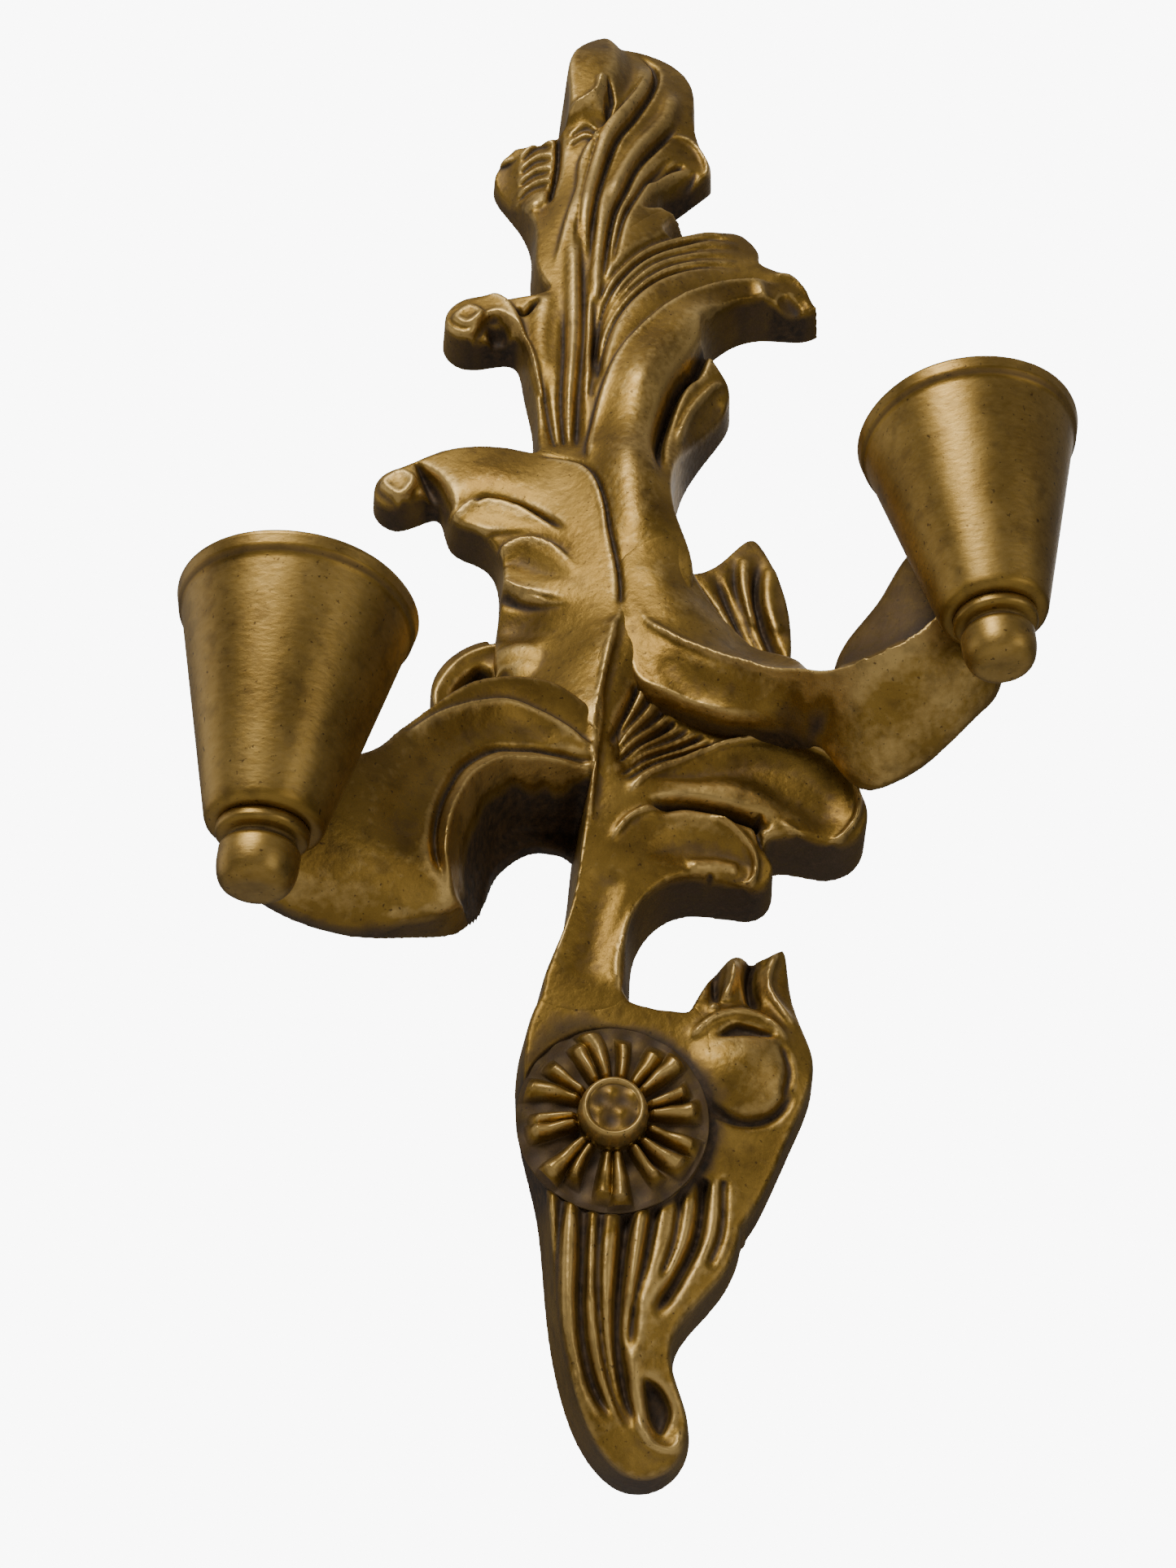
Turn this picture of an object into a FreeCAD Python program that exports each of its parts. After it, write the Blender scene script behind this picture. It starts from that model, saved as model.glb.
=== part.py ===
import FreeCAD, Part
import math
import os
import re

# Two-arm rococo wall sconce for candles: carved gilt mouldings glued and dowelled
# together, two turned tapering cups on scrolled arms, brass liners that lift out,
# and a ring hanger in the back.
#
# Frame: +Z up, +X to the right, the wall is the plane Y = 0 and the front faces -Y.
# The origin lies on the back plane, behind the hub where the two arms meet.

doc = FreeCAD.newDocument("wall_sconce")
Vec = FreeCAD.Vector

# ---------------------------------------------------------------- driving dimensions
DIMENSIONS = {
    # cups, measured from the centre of each cup's base
    "cup_lip_radius": 31.0,
    "cup_base_radius": 14.3,
    "cup_height": 66.5,
    "cup_wall": 3.6,
    "cup_floor": 8.5,
    "cup_base_round": 1.6,
    "lip_band_height": 5.0,
    "lip_band_proud": 0.8,
    "cup_axis_out": 92.0,
    "left_cup_x": -81.7,
    "left_cup_base_z": -80.2,
    "right_cup_x": 99.4,
    "right_cup_base_z": -6.8,
    # finials
    "collar_radius": 11.0,
    "collar_height": 2.4,
    "neck_radius": 8.0,
    "neck_height": 2.6,
    "button_radius": 9.6,
    "button_height": 12.0,
    "peg_radius": 3.0,
    "peg_length": 6.0,
    # liners
    "candle_radius": 11.2,
    "liner_wall": 0.6,
    "liner_clearance": 0.05,
    "socket_depth": 22.0,
    "liner_rim_drop": 4.0,
    "liner_rim_wire": 1.0,
    "liner_gap": 0.9,
    # depths of the mouldings, from the wall forwards
    "crest_depth": 24.0,
    "neck_depth": 20.0,
    "scroll_depth": 25.0,
    "leaf_depth": 22.0,
    "stem_depth": 26.0,
    "tail_depth": 25.0,
    "bud_depth": 22.0,
    "rear_leaf_depth": 11.0,
    # rosette
    "rosette_x": 4.0,
    "rosette_z": -121.0,
    "rosette_radius": 25.0,
    "rosette_seat": 22.0,
    "rosette_height": 6.0,
    "rosette_boss_radius": 9.0,
    "rosette_boss_height": 4.0,
    "petal_count": 19,
    "petal_gap": 1.6,
    # fasteners
    "dowel_radius": 3.0,
    "dowel_length": 24.0,
    "screw_head_radius": 3.6,
    "screw_head_height": 2.6,
    "screw_shank_radius": 1.75,
    "screw_clearance": 0.3,
    "screw_head_out": 60.0,
    "screw_tip_out": 87.5,
    "pin_radius": 1.2,
    "pin_length": 16.0,
    # hanger in the back of the crest
    "hanger_x": 7.0,
    "hanger_z": 288.0,
    "hanger_recess_width": 27.0,
    "hanger_recess_above": 14.0,
    "hanger_recess_below": 25.0,
    "hanger_recess_depth": 4.6,
    "ring_wire": 1.1,
    "ring_radius": 9.0,
    "strap_width": 12.0,
    "strap_drop": 22.0,
    "strap_thick": 1.0,
    "strap_clearance": 0.05,
    "hanger_screw_radius": 1.2,
    "hanger_screw_length": 9.0,
    "hanger_screw_head": 2.6,
    "hanger_screw_head_height": 1.0,
}

sheet = doc.addObject("Spreadsheet::Sheet", "Sizes")
for row, (alias, value) in enumerate(DIMENSIONS.items(), start=1):
    sheet.set("A%d" % row, alias)
    sheet.set("B%d" % row, str(value))
    sheet.setAlias("B%d" % row, alias)
doc.recompute()


def size(alias):
    """The value of one cell of the sheet."""
    return float(sheet.get(alias))


def cell_name(match):
    """A dimension's name written as its cell in the sheet; any other word is left alone."""
    word = match.group()
    return "Sizes." + word if word in DIMENSIONS else word


def bind(obj, **expressions):
    """Bind properties to sheet cells; a double underscore stands for a dot."""
    for name, text in expressions.items():
        obj.setExpression(name.replace("__", "."), re.sub("[a-z_]+", cell_name, text))


def hide_name(label):
    """Name for a helper object that isn't a sub-part."""
    return label + "_tool"


# ---------------------------------------------------------------- small builders
def add_box(name, corner, length, width, height):
    """A Part box whose sizes and corner are expressions."""
    box = doc.addObject("Part::Box", name)
    bind(box, Length=length, Width=width, Height=height)
    bind(box, Placement__Base__x=corner[0], Placement__Base__y=corner[1], Placement__Base__z=corner[2])
    return box


def add_rod(name, base, direction, radius, length):
    """A Part cylinder from base along direction; radius, length and base are expressions."""
    rod = doc.addObject("Part::Cylinder", name)
    bind(rod, Radius=radius, Height=length)
    rod.Placement.Rotation = FreeCAD.Rotation(Vec(0, 0, 1), Vec(*direction))
    bind(rod, Placement__Base__x=base[0], Placement__Base__y=base[1], Placement__Base__z=base[2])
    return rod


def add_cut(name, base, tools):
    """Base minus every tool, as one Part cut."""
    tool = tools[0]
    if len(tools) > 1:
        tool = doc.addObject("Part::MultiFuse", hide_name(name))
        tool.Shapes = tools
    cut = doc.addObject("Part::Cut", name)
    cut.Base = base
    cut.Tool = tool
    return cut


def add_group(name, members):
    """Several separate solids kept together as one sub-part."""
    group = doc.addObject("Part::Compound", name)
    group.Links = members
    return group


def add_fuse(name, members):
    """One solid from overlapping members."""
    fuse = doc.addObject("Part::MultiFuse", name)
    fuse.Shapes = members
    return fuse


def origin_plane(body, role):
    """One of a body's own origin planes."""
    return next(plane for plane in body.Origin.OriginFeatures if plane.Role == role)


def add_sketch(body, name, role):
    """An empty sketch on one of the body's own origin planes."""
    sketch = body.newObject("Sketcher::SketchObject", name)
    sketch.AttachmentSupport = [(origin_plane(body, role), "")]
    sketch.MapMode = "FlatFace"
    return sketch


def carved_blank(name, depth, outline):
    """A moulding sawn to a smooth closed outline (x, z) and padded from the wall forwards."""
    body = doc.addObject("PartDesign::Body", name + "_blank")
    sketch = add_sketch(body, name + "_outline", "XZ_Plane")
    curve = Part.BSplineCurve()
    curve.interpolate([Vec(x, z, 0) for x, z in outline], PeriodicFlag=True)
    sketch.addGeometry(curve, False)
    pad = body.newObject("PartDesign::Pad", name + "_pad")
    pad.Profile = sketch
    bind(pad, Length=depth)
    return body


def turned_body(name, axis_x, base_z, profile):
    """A body of revolution about a vertical axis; profile is a list of (radius, height)."""
    body = doc.addObject("PartDesign::Body", name)
    sketch = add_sketch(body, name + "_profile", "XZ_Plane")
    corners = [Vec(radius, height, 0) for radius, height in profile]
    for start, end in zip(corners, corners[1:] + corners[:1]):
        sketch.addGeometry(Part.LineSegment(start, end), False)
    turn = body.newObject("PartDesign::Revolution", name + "_turn")
    turn.Profile = sketch
    turn.ReferenceAxis = (sketch, ["V_Axis"])
    turn.Angle = 360.0
    bind(body, Placement__Base__x=axis_x, Placement__Base__y="-1 * cup_axis_out", Placement__Base__z=base_z)
    return body


# ---------------------------------------------------------------- cups, finials and liners
def outer_radius(height):
    """Radius of the cup's tapering outside at a height above its base."""
    rise = size("cup_lip_radius") - size("lip_band_proud") - size("cup_base_radius")
    return size("cup_base_radius") + rise * height / size("cup_height")


def pocket_top():
    """Height above the cup's base where the liner's straight socket ends."""
    return size("cup_floor") + size("socket_depth")


def cup_profile():
    """Outline of half a cup: rounded base, tapering wall, lip band and the hollow inside."""
    top = size("cup_height")
    band_foot = top - size("lip_band_height")
    base = size("cup_base_radius")
    corner = size("cup_base_round")
    pocket = size("candle_radius") + size("liner_wall") + size("liner_clearance")
    rim_inside = size("cup_lip_radius") - size("cup_wall")
    return [
        (0, 0),
        (base - corner, 0),
        (base, corner),
        (outer_radius(band_foot), band_foot),
        (size("cup_lip_radius"), band_foot + size("lip_band_proud")),
        (size("cup_lip_radius"), top),
        (rim_inside, top),
        (pocket + size("liner_gap"), pocket_top()),
        (pocket, pocket_top()),
        (pocket, size("cup_floor")),
        (0, size("cup_floor")),
    ]


def finial_profile():
    """Outline of half a finial: peg, collar, recessed neck and a domed button below the cup."""
    collar_foot = -size("collar_height")
    neck_foot = collar_foot - size("neck_height")
    button = size("button_radius")
    drop = size("button_height")
    dome = []
    steps = 8
    for step in range(steps):
        angle = math.pi * step / (2 * steps)
        dome.append((button * math.cos(angle), neck_foot - 0.3 * drop - 0.7 * drop * math.sin(angle)))
    return [
        (0, size("peg_length")),
        (size("peg_radius"), size("peg_length")),
        (size("peg_radius"), 0),
        (size("collar_radius"), 0),
        (size("collar_radius"), collar_foot),
        (size("neck_radius"), neck_foot),
    ] + dome + [(0, neck_foot - drop)]


def liner_profile():
    """Outline of half a spun brass liner: candle socket below, flared drip pan above."""
    inside = size("candle_radius")
    outside = inside + size("liner_wall")
    floor = size("cup_floor")
    rim_height = size("cup_height") - size("liner_rim_drop")
    slope = (size("cup_lip_radius") - size("cup_wall") - outside - size("liner_gap")) / (
        size("cup_height") - pocket_top())
    flare = slope * (rim_height - pocket_top())
    wire = size("liner_rim_wire")
    wall = size("liner_wall")
    return [
        (0, floor),
        (outside, floor),
        (outside, pocket_top() + wall),
        (outside + flare, rim_height),
        (outside + flare, rim_height + wire),
        (outside + flare - wall - wire, rim_height + wire),
        (outside + flare - wall - wire, rim_height),
        (outside + flare - wall, rim_height - wall),
        (inside, pocket_top() + wall),
        (inside, floor + wall),
        (0, floor + wall),
    ]


def cup_set(side):
    """One side's cup with its finial below it and its liner inside it."""
    axis_x = side + "_cup_x"
    base_z = side + "_cup_base_z"
    blank = turned_body(side + "_cup_blank", axis_x, base_z, cup_profile())
    peg_hole = add_rod(
        side + "_peg_hole", (axis_x, "-1 * cup_axis_out", base_z), (0, 0, 1), "peg_radius", "peg_length")
    pilot = add_rod(
        side + "_pilot_hole", (axis_x, "-1 * screw_tip_out", base_z + " + cup_floor / 2"),
        (0, 1, 0), "screw_shank_radius", "screw_tip_out - screw_head_out")
    add_cut(side + "_cup", blank, [peg_hole, pilot])
    turned_body(side + "_cup_finial", axis_x, base_z, finial_profile())
    turned_body(side + "_candle_liner", axis_x, base_z, liner_profile())


def cup_envelope(side):
    """The solid cone that a cup fills, used to scribe the arm to the cup's back."""
    cone = doc.addObject("Part::Cone", side + "_cup_cone")
    bind(
        cone, Radius1="cup_base_radius", Radius2="cup_lip_radius - lip_band_proud", Height="cup_height",
        Placement__Base__x=side + "_cup_x", Placement__Base__y="-1 * cup_axis_out",
        Placement__Base__z=side + "_cup_base_z")
    return cone


# ---------------------------------------------------------------- arms
def arm_blank(side, stations):
    """A scrolled arm lofted through ellipses that stand square to its path.

    Each station is (x, out, z, half_height, half_thickness): its centre, its half size
    in a plane parallel to the wall, and its half size from back to front.
    """
    centres = [Vec(x, -out, z) for x, out, z, half_height, half_thickness in stations]
    rings = []
    for number, (x, out, z, half_height, half_thickness) in enumerate(stations):
        before = centres[max(number - 1, 0)]
        after = centres[min(number + 1, len(centres) - 1)]
        tangent = (after - before).normalize()
        across = Vec(0, 1, 0).cross(tangent).normalize()
        if across.z < 0:
            across = -across
        ring = doc.addObject("Part::Ellipse", "%s_arm_ring_%d" % (side, number))
        ring.MajorRadius = half_height
        ring.MinorRadius = half_thickness
        ring.Placement = FreeCAD.Placement(
            centres[number], FreeCAD.Rotation(across, tangent.cross(across), tangent, "ZXY"))
        rings.append(ring)
    loft = doc.addObject("Part::Loft", side + "_arm_blank")
    loft.Sections = rings
    loft.Solid = True
    loft.Ruled = False
    return loft


LEFT_ARM = [
    (-3, 20, -12, 17, 14),
    (-24, 26, -14, 20, 17),
    (-42, 38, -30, 23, 18),
    (-57, 48, -53, 26, 17),
    (-69, 58, -69, 23, 15),
    (-79, 70, -74, 17, 13),
]
RIGHT_ARM = [
    (5, 18, 25, 16, 14),
    (30, 24, 11, 16, 14),
    (56, 32, 0, 15, 14),
    (77, 44, -7, 17, 15),
    (90, 57, -3, 18, 14),
    (95, 72, 7, 16, 13),
]


def screw_hole(side):
    """Counterbored clearance hole through the arm's end, from the wall side to the cup."""
    axis_x = side + "_cup_x"
    axis_z = side + "_cup_base_z + cup_floor / 2"
    counterbore = add_rod(
        side + "_counterbore", (axis_x, "-1 * screw_head_out - screw_head_height", axis_z), (0, 1, 0),
        "screw_head_radius + screw_clearance", "screw_head_out + screw_head_height")
    clearance = add_rod(
        side + "_clearance_hole", (axis_x, "-1 * screw_tip_out", axis_z), (0, 1, 0),
        "screw_shank_radius + screw_clearance", "screw_tip_out - screw_head_out")
    return [counterbore, clearance]


def cup_screw(side):
    """Round-head wood screw from behind the arm into the cup's solid floor."""
    axis_x = side + "_cup_x"
    axis_z = side + "_cup_base_z + cup_floor / 2"
    head = add_rod(
        side + "_screw_head", (axis_x, "-1 * screw_head_out - screw_head_height", axis_z), (0, 1, 0),
        "screw_head_radius", "screw_head_height")
    shank = add_rod(
        side + "_screw_shank", (axis_x, "-1 * screw_tip_out", axis_z), (0, 1, 0),
        "screw_shank_radius", "screw_tip_out - screw_head_out - screw_head_height")
    slot = add_box(
        side + "_screw_slot", (axis_x + " - screw_head_radius", "-1 * screw_head_out - 1", axis_z + " - 0.5"),
        "2 * screw_head_radius", "2", "1")
    whole = add_fuse(side + "_screw_whole", [head, shank])
    return add_cut(side + "_cup_screw", whole, [slot])


# ---------------------------------------------------------------- dowels
# Each dowel is (x, out, z, direction), placed by its middle.
JOINT_DOWELS = [
    (-20, 9, 206, (0, 0, 1)),
    (6, 10, 239, (0, 0, 1)),
    (-16, 9, 118, (0, 0, 1)),
    (1, 10, 82, (1, 0, 0)),
    (-8, 10, -88, (0, 0, 1)),
    (3, 10, -88, (0, 0, 1)),
    (29, 9, -112, (1, 0, 0)),
]
ARM_DOWELS = [
    (-6, 15, -18, (1, 0, 0)),
    (-6, 15, -5, (1, 0, 0)),
    (9, 15, 16, (1, 0, 0)),
    (8, 15, 27, (1, 0, 0)),
]


def dowel_rods(label, places):
    """Glued beech dowels, each placed by its middle."""
    rods = []
    for number, (x, out, z, direction) in enumerate(places):
        start = [
            "%g - %g * dowel_length / 2" % (middle, step)
            for middle, step in zip((x, -out, z), direction)]
        rods.append(add_rod("%s_%d" % (label, number), start, direction, "dowel_radius", "dowel_length"))
    return rods


# ---------------------------------------------------------------- mouldings
def arc(centre, radius, start, end, count=6):
    """Points round an arc; angles are in degrees, from +X towards +Z."""
    angles = [math.radians(start + (end - start) * step / (count - 1)) for step in range(count)]
    return [(centre[0] + radius * math.cos(angle), centre[1] + radius * math.sin(angle)) for angle in angles]


# Sawn outlines as (x, z), with the curls as arcs. Where two mouldings meet, the one cut
# second runs a few millimetres past the joint and is scribed to its neighbour.
STEM = [
    (6, 42), (-3, 20), (-5, 0), (-9, -35), (-14, -70), (-17, -88), (6, -88), (10, -67), (24, -50),
] + arc((43, -42), 8.5, -100, 45) + [(57, -34)] + arc((67, -22), 13.5, -100, 40) + [
    (64, -2), (40, 0), (20, 7),
]
LEFT_LEAF = [
    (-12, 116), (-36, 127), (-60, 126),
] + arc((-72, 109), 10.5, 100, 265) + [
    (-60, 104), (-54, 90), (-43, 83), (-36, 60), (-36, 30), (-22, 9), (-2, 3), (2, 24), (4, 55), (-2, 92),
]
C_SCROLL = [
    (-10, 112), (-6, 145), (-8, 180), (-12, 207), (6, 238), (24, 257), (46, 257), (59, 241),
] + arc((71, 218), 13, 75, -70) + [
    (58, 205), (42, 196), (35, 178), (44, 163), (38, 143), (26, 118), (24, 92), (30, 64), (20, 38),
    (2, 42), (-2, 80),
]
NECK = [
    (-8, 207), (-36, 207),
] + arc((-52, 194), 12.5, 80, 260) + [
    (-38, 184), (-33, 170), (-28, 142), (-22, 117), (-10, 112), (-1, 130), (-2, 175),
]
CREST = [
    (23, 253),
] + arc((30, 292), 10.5, -45, 35, 4) + [(34, 318)] + arc((6, 336), 28, 10, 150) + [
    (-25, 330), (-26, 306), (-42, 301), (-50, 293), (-41, 268), (-33, 244), (-30, 214), (-20, 201), (2, 224),
]
TAIL = [
    (6, -84), (-16, -84), (-21, -118), (-15, -141), (-12, -162), (-7, -186),
] + arc((12, -194), 13, 220, 375) + [
    (21, -178), (32, -162), (39, -145), (31, -120), (26, -88),
]
BUD = [
    (23, -87), (32, -72), (39, -67), (45, -67), (52, -63), (55, -79), (60, -100), (52, -123), (37, -147),
    (27, -121),
]
LEFT_REAR_LEAF = [(-28, 8), (-48, 9), (-56, 25), (-47, 43), (-32, 47)]
RIGHT_REAR_LEAF = [(20, 84), (37, 84), (50, 96), (57, 84), (62, 56), (54, 31), (36, 32), (21, 55)]


# ---------------------------------------------------------------- rosette
def petal_rosette():
    """Round flower: a disc notched between its petals, with a raised boss, bored for its pin."""
    disc = add_rod(
        "rosette_disc", ("rosette_x", "-1 * rosette_seat", "rosette_z"), (0, -1, 0),
        "rosette_radius", "rosette_height")
    boss = add_rod(
        "rosette_boss", ("rosette_x", "-1 * rosette_seat", "rosette_z"), (0, -1, 0),
        "rosette_boss_radius", "rosette_height + rosette_boss_height")
    notches = []
    count = int(size("petal_count"))
    for number in range(count):
        angle = 360.0 * number / count
        centre = (
            "rosette_x + rosette_radius * sin(%.4f deg)" % angle,
            "-1 * rosette_seat",
            "rosette_z + rosette_radius * cos(%.4f deg)" % angle)
        notches.append(add_rod(
            "petal_notch_%d" % number, centre, (0, -1, 0), "petal_gap", "rosette_height"))
    whole = add_fuse("rosette_whole", [disc, boss])
    return add_cut("rosette", whole, notches + [rosette_pin("rosette_pin_hole")])


def rosette_pin(name):
    """The brad that holds the rosette, or the hole that it fills."""
    return add_rod(
        name, ("rosette_x", "-1 * rosette_seat - rosette_height - rosette_boss_height / 2", "rosette_z"),
        (0, 1, 0), "pin_radius", "pin_length")


# ---------------------------------------------------------------- hanger
RING_OUT = "strap_thick + strap_clearance + ring_wire - hanger_recess_depth"
STRAP_FACE = "strap_thick - hanger_recess_depth"
HANGER_SCREW_DROPS = (5.2, 17.0)


def hanger_recess():
    """Shallow pocket in the crest's back that the whole hanger lies in."""
    return add_box(
        "hanger_recess",
        ("hanger_x - hanger_recess_width / 2", "-1 * hanger_recess_depth", "hanger_z - hanger_recess_below"),
        "hanger_recess_width", "hanger_recess_depth", "hanger_recess_above + hanger_recess_below")


def hanger_ring():
    """Steel D ring: a straight bar on the pivot and a half hoop above it, round at the corners."""
    bar = add_rod(
        "ring_bar", ("hanger_x - ring_radius", RING_OUT, "hanger_z"), (1, 0, 0),
        "ring_wire", "2 * ring_radius")
    hoop = doc.addObject("Part::Torus", "ring_hoop")
    hoop.Placement.Rotation = FreeCAD.Rotation(Vec(1, 0, 0), 90)
    hoop.Angle3 = 180
    bind(
        hoop, Radius1="ring_radius", Radius2="ring_wire", Placement__Base__x="hanger_x",
        Placement__Base__y=RING_OUT, Placement__Base__z="hanger_z")
    corners = []
    for side, sign in (("left", "-"), ("right", "+")):
        corner = doc.addObject("Part::Sphere", "ring_corner_" + side)
        bind(
            corner, Radius="ring_wire", Placement__Base__x="hanger_x %s ring_radius" % sign,
            Placement__Base__y=RING_OUT, Placement__Base__z="hanger_z")
        corners.append(corner)
    return add_fuse("hanger_ring", [bar, hoop] + corners)


def hanger_screws(label, radius, with_heads):
    """The strap's two screws, or plain rods for their holes."""
    solids = []
    for number, drop in enumerate(HANGER_SCREW_DROPS):
        height = "hanger_z - %g" % drop
        shank = add_rod(
            "%s_shank_%d" % (label, number), ("hanger_x", STRAP_FACE, height), (0, -1, 0),
            radius, "hanger_screw_length")
        if with_heads:
            head = add_rod(
                "%s_head_%d" % (label, number), ("hanger_x", STRAP_FACE, height), (0, 1, 0),
                "hanger_screw_head", "hanger_screw_head_height")
            shank = add_fuse("%s_%d" % (label, number), [shank, head])
        solids.append(shank)
    return solids


def hanger_strap():
    """Folded steel strap: a flat plate with a rolled loop that carries the ring."""
    plate = add_box(
        "strap_plate", ("hanger_x - strap_width / 2", "-1 * hanger_recess_depth", "hanger_z - strap_drop"),
        "strap_width", "strap_thick", "strap_drop")
    loop = add_rod(
        "strap_loop", ("hanger_x - strap_width / 2", RING_OUT, "hanger_z"), (1, 0, 0),
        "ring_wire + strap_clearance + strap_thick", "strap_width")
    eye = add_rod(
        "strap_eye", ("hanger_x - strap_width / 2", RING_OUT, "hanger_z"), (1, 0, 0),
        "ring_wire + strap_clearance", "strap_width")
    whole = add_fuse("strap_whole", [plate, loop])
    return add_cut("hanger_strap", whole, [eye] + hanger_screws("strap_hole", "hanger_screw_radius", False))


# ---------------------------------------------------------------- assembly
cup_set("left")
cup_set("right")

stem_blank = carved_blank("stem_scroll", "stem_depth", STEM)
leaf_blank = carved_blank("left_leaf", "leaf_depth", LEFT_LEAF)
scroll_blank = carved_blank("right_c_scroll", "scroll_depth", C_SCROLL)
neck_blank = carved_blank("neck_volute", "neck_depth", NECK)
crest_blank = carved_blank("crest_plume", "crest_depth", CREST)
tail_blank = carved_blank("tail_drape", "tail_depth", TAIL)
bud_blank = carved_blank("bud_leaf", "bud_depth", BUD)
left_rear_blank = carved_blank("left_rear_leaf", "rear_leaf_depth", LEFT_REAR_LEAF)
right_rear_blank = carved_blank("right_rear_leaf", "rear_leaf_depth", RIGHT_REAR_LEAF)
left_arm = arm_blank("left", LEFT_ARM)
right_arm = arm_blank("right", RIGHT_ARM)

joint_holes = dowel_rods("joint_hole", JOINT_DOWELS)
arm_holes = dowel_rods("arm_hole", ARM_DOWELS)
rosette_seat = add_rod(
    "rosette_seat_cut", ("rosette_x", "-1 * rosette_seat", "rosette_z"), (0, -1, 0),
    "rosette_radius", "rosette_height")
strap_pilots = hanger_screws("pilot", "hanger_screw_radius", False)

add_cut("stem_scroll", stem_blank, joint_holes + arm_holes)
add_cut("left_leaf", leaf_blank, [stem_blank] + joint_holes + arm_holes)
add_cut("right_c_scroll", scroll_blank, [stem_blank, leaf_blank] + joint_holes + arm_holes)
add_cut("neck_volute", neck_blank, [scroll_blank, leaf_blank] + joint_holes)
add_cut("crest_plume", crest_blank, [neck_blank, scroll_blank, hanger_recess()] + joint_holes + strap_pilots)
add_cut("tail_drape", tail_blank, [stem_blank, rosette_seat, rosette_pin("tail_pin_hole")] + joint_holes)
add_cut("bud_leaf", bud_blank, [tail_blank, rosette_seat] + joint_holes)
add_cut("left_rear_leaf", left_rear_blank, [leaf_blank])
add_cut("right_rear_leaf", right_rear_blank, [scroll_blank, stem_blank])
add_cut(
    "left_arm", left_arm,
    [stem_blank, leaf_blank, left_rear_blank, cup_envelope("left")] + screw_hole("left") + arm_holes)
add_cut(
    "right_arm", right_arm,
    [stem_blank, scroll_blank, right_rear_blank, cup_envelope("right")] + screw_hole("right") + arm_holes)
petal_rosette()
rosette_pin("rosette_pin")
hanger_strap()
hanger_ring()
add_group("hanger_screws", hanger_screws("strap_screw", "hanger_screw_radius", True))
add_group("joint_dowels", dowel_rods("joint_dowel", JOINT_DOWELS))
add_group("arm_dowels", dowel_rods("arm_dowel", ARM_DOWELS))
add_group("cup_screws", [cup_screw("left"), cup_screw("right")])

SUB_PARTS = (
    "crest_plume", "neck_volute", "right_c_scroll", "left_leaf", "left_rear_leaf", "right_rear_leaf",
    "stem_scroll", "tail_drape", "bud_leaf", "rosette", "rosette_pin", "left_arm", "right_arm",
    "left_cup", "right_cup", "left_cup_finial", "right_cup_finial", "left_candle_liner",
    "right_candle_liner", "cup_screws", "arm_dowels", "joint_dowels", "hanger_strap", "hanger_ring",
    "hanger_screws",
)

# ---------------------------------------------------------------- check and export
doc.recompute()
for obj in doc.Objects:
    if "Invalid" in obj.State or "Error" in obj.State:
        raise RuntimeError("%s failed: %s" % (obj.Name, obj.State))

os.makedirs("parts", exist_ok=True)
for label in SUB_PARTS:
    shape = doc.getObject(label).Shape
    if shape.isNull() or not shape.isValid():
        raise RuntimeError(label + " has no valid shape")
    shape.exportStep("parts/%s.step" % label)
    box = shape.BoundBox
    print("%-20s solids %d  volume %8.0f mm3  x %6.1f %6.1f  y %6.1f %6.1f  z %6.1f %6.1f" % (
        label, len(shape.Solids), shape.Volume, box.XMin, box.XMax, box.YMin, box.YMax, box.ZMin, box.ZMax))
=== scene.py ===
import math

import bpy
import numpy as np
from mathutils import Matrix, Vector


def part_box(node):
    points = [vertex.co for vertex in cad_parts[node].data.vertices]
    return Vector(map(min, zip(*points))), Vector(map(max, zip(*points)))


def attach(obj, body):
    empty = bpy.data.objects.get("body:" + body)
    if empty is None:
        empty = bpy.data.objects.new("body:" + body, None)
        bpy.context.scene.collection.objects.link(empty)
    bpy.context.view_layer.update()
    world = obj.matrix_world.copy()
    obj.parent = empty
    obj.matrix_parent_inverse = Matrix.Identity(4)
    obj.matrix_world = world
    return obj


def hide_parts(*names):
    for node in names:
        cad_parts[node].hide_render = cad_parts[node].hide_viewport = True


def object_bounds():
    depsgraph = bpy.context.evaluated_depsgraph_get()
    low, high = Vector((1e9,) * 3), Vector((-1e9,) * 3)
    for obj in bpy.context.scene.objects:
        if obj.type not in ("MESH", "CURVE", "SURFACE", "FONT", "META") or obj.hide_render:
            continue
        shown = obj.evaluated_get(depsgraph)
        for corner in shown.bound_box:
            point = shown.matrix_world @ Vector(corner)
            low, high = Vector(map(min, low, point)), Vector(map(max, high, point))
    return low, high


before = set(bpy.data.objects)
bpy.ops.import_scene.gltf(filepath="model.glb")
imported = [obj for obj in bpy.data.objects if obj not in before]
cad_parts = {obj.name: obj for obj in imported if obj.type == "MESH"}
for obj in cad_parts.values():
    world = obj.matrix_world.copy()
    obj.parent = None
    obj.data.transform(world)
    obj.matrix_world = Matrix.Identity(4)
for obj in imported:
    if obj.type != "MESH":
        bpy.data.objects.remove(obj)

# Carved gilt wall sconce. The mouldings are one relief: a height field in millimetres over
# the wall plane, cut along the sub-parts' own outlines. Each arm is the solid between a carved
# front and a curved back. Cups, finials and liners are turned.

import openvdb
from mathutils import Matrix, Vector

FRAME_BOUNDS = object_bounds()
MM = 0.001

# ---------------------------------------------------------------- relief settings (mm)
CELL = 0.6
VOXEL = 0.65
FLANK_SLOPE = 9.0
FLANK_BLEND = 0.55
CROWN_WIDTH = 4.0
CROWN_DROP = 1.3
EDGE_REACH = 14.0
GRID_MARGIN = 6.0
SEAM_TEST = 1.0
SEAM_OVERLAP = 1.0

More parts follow.
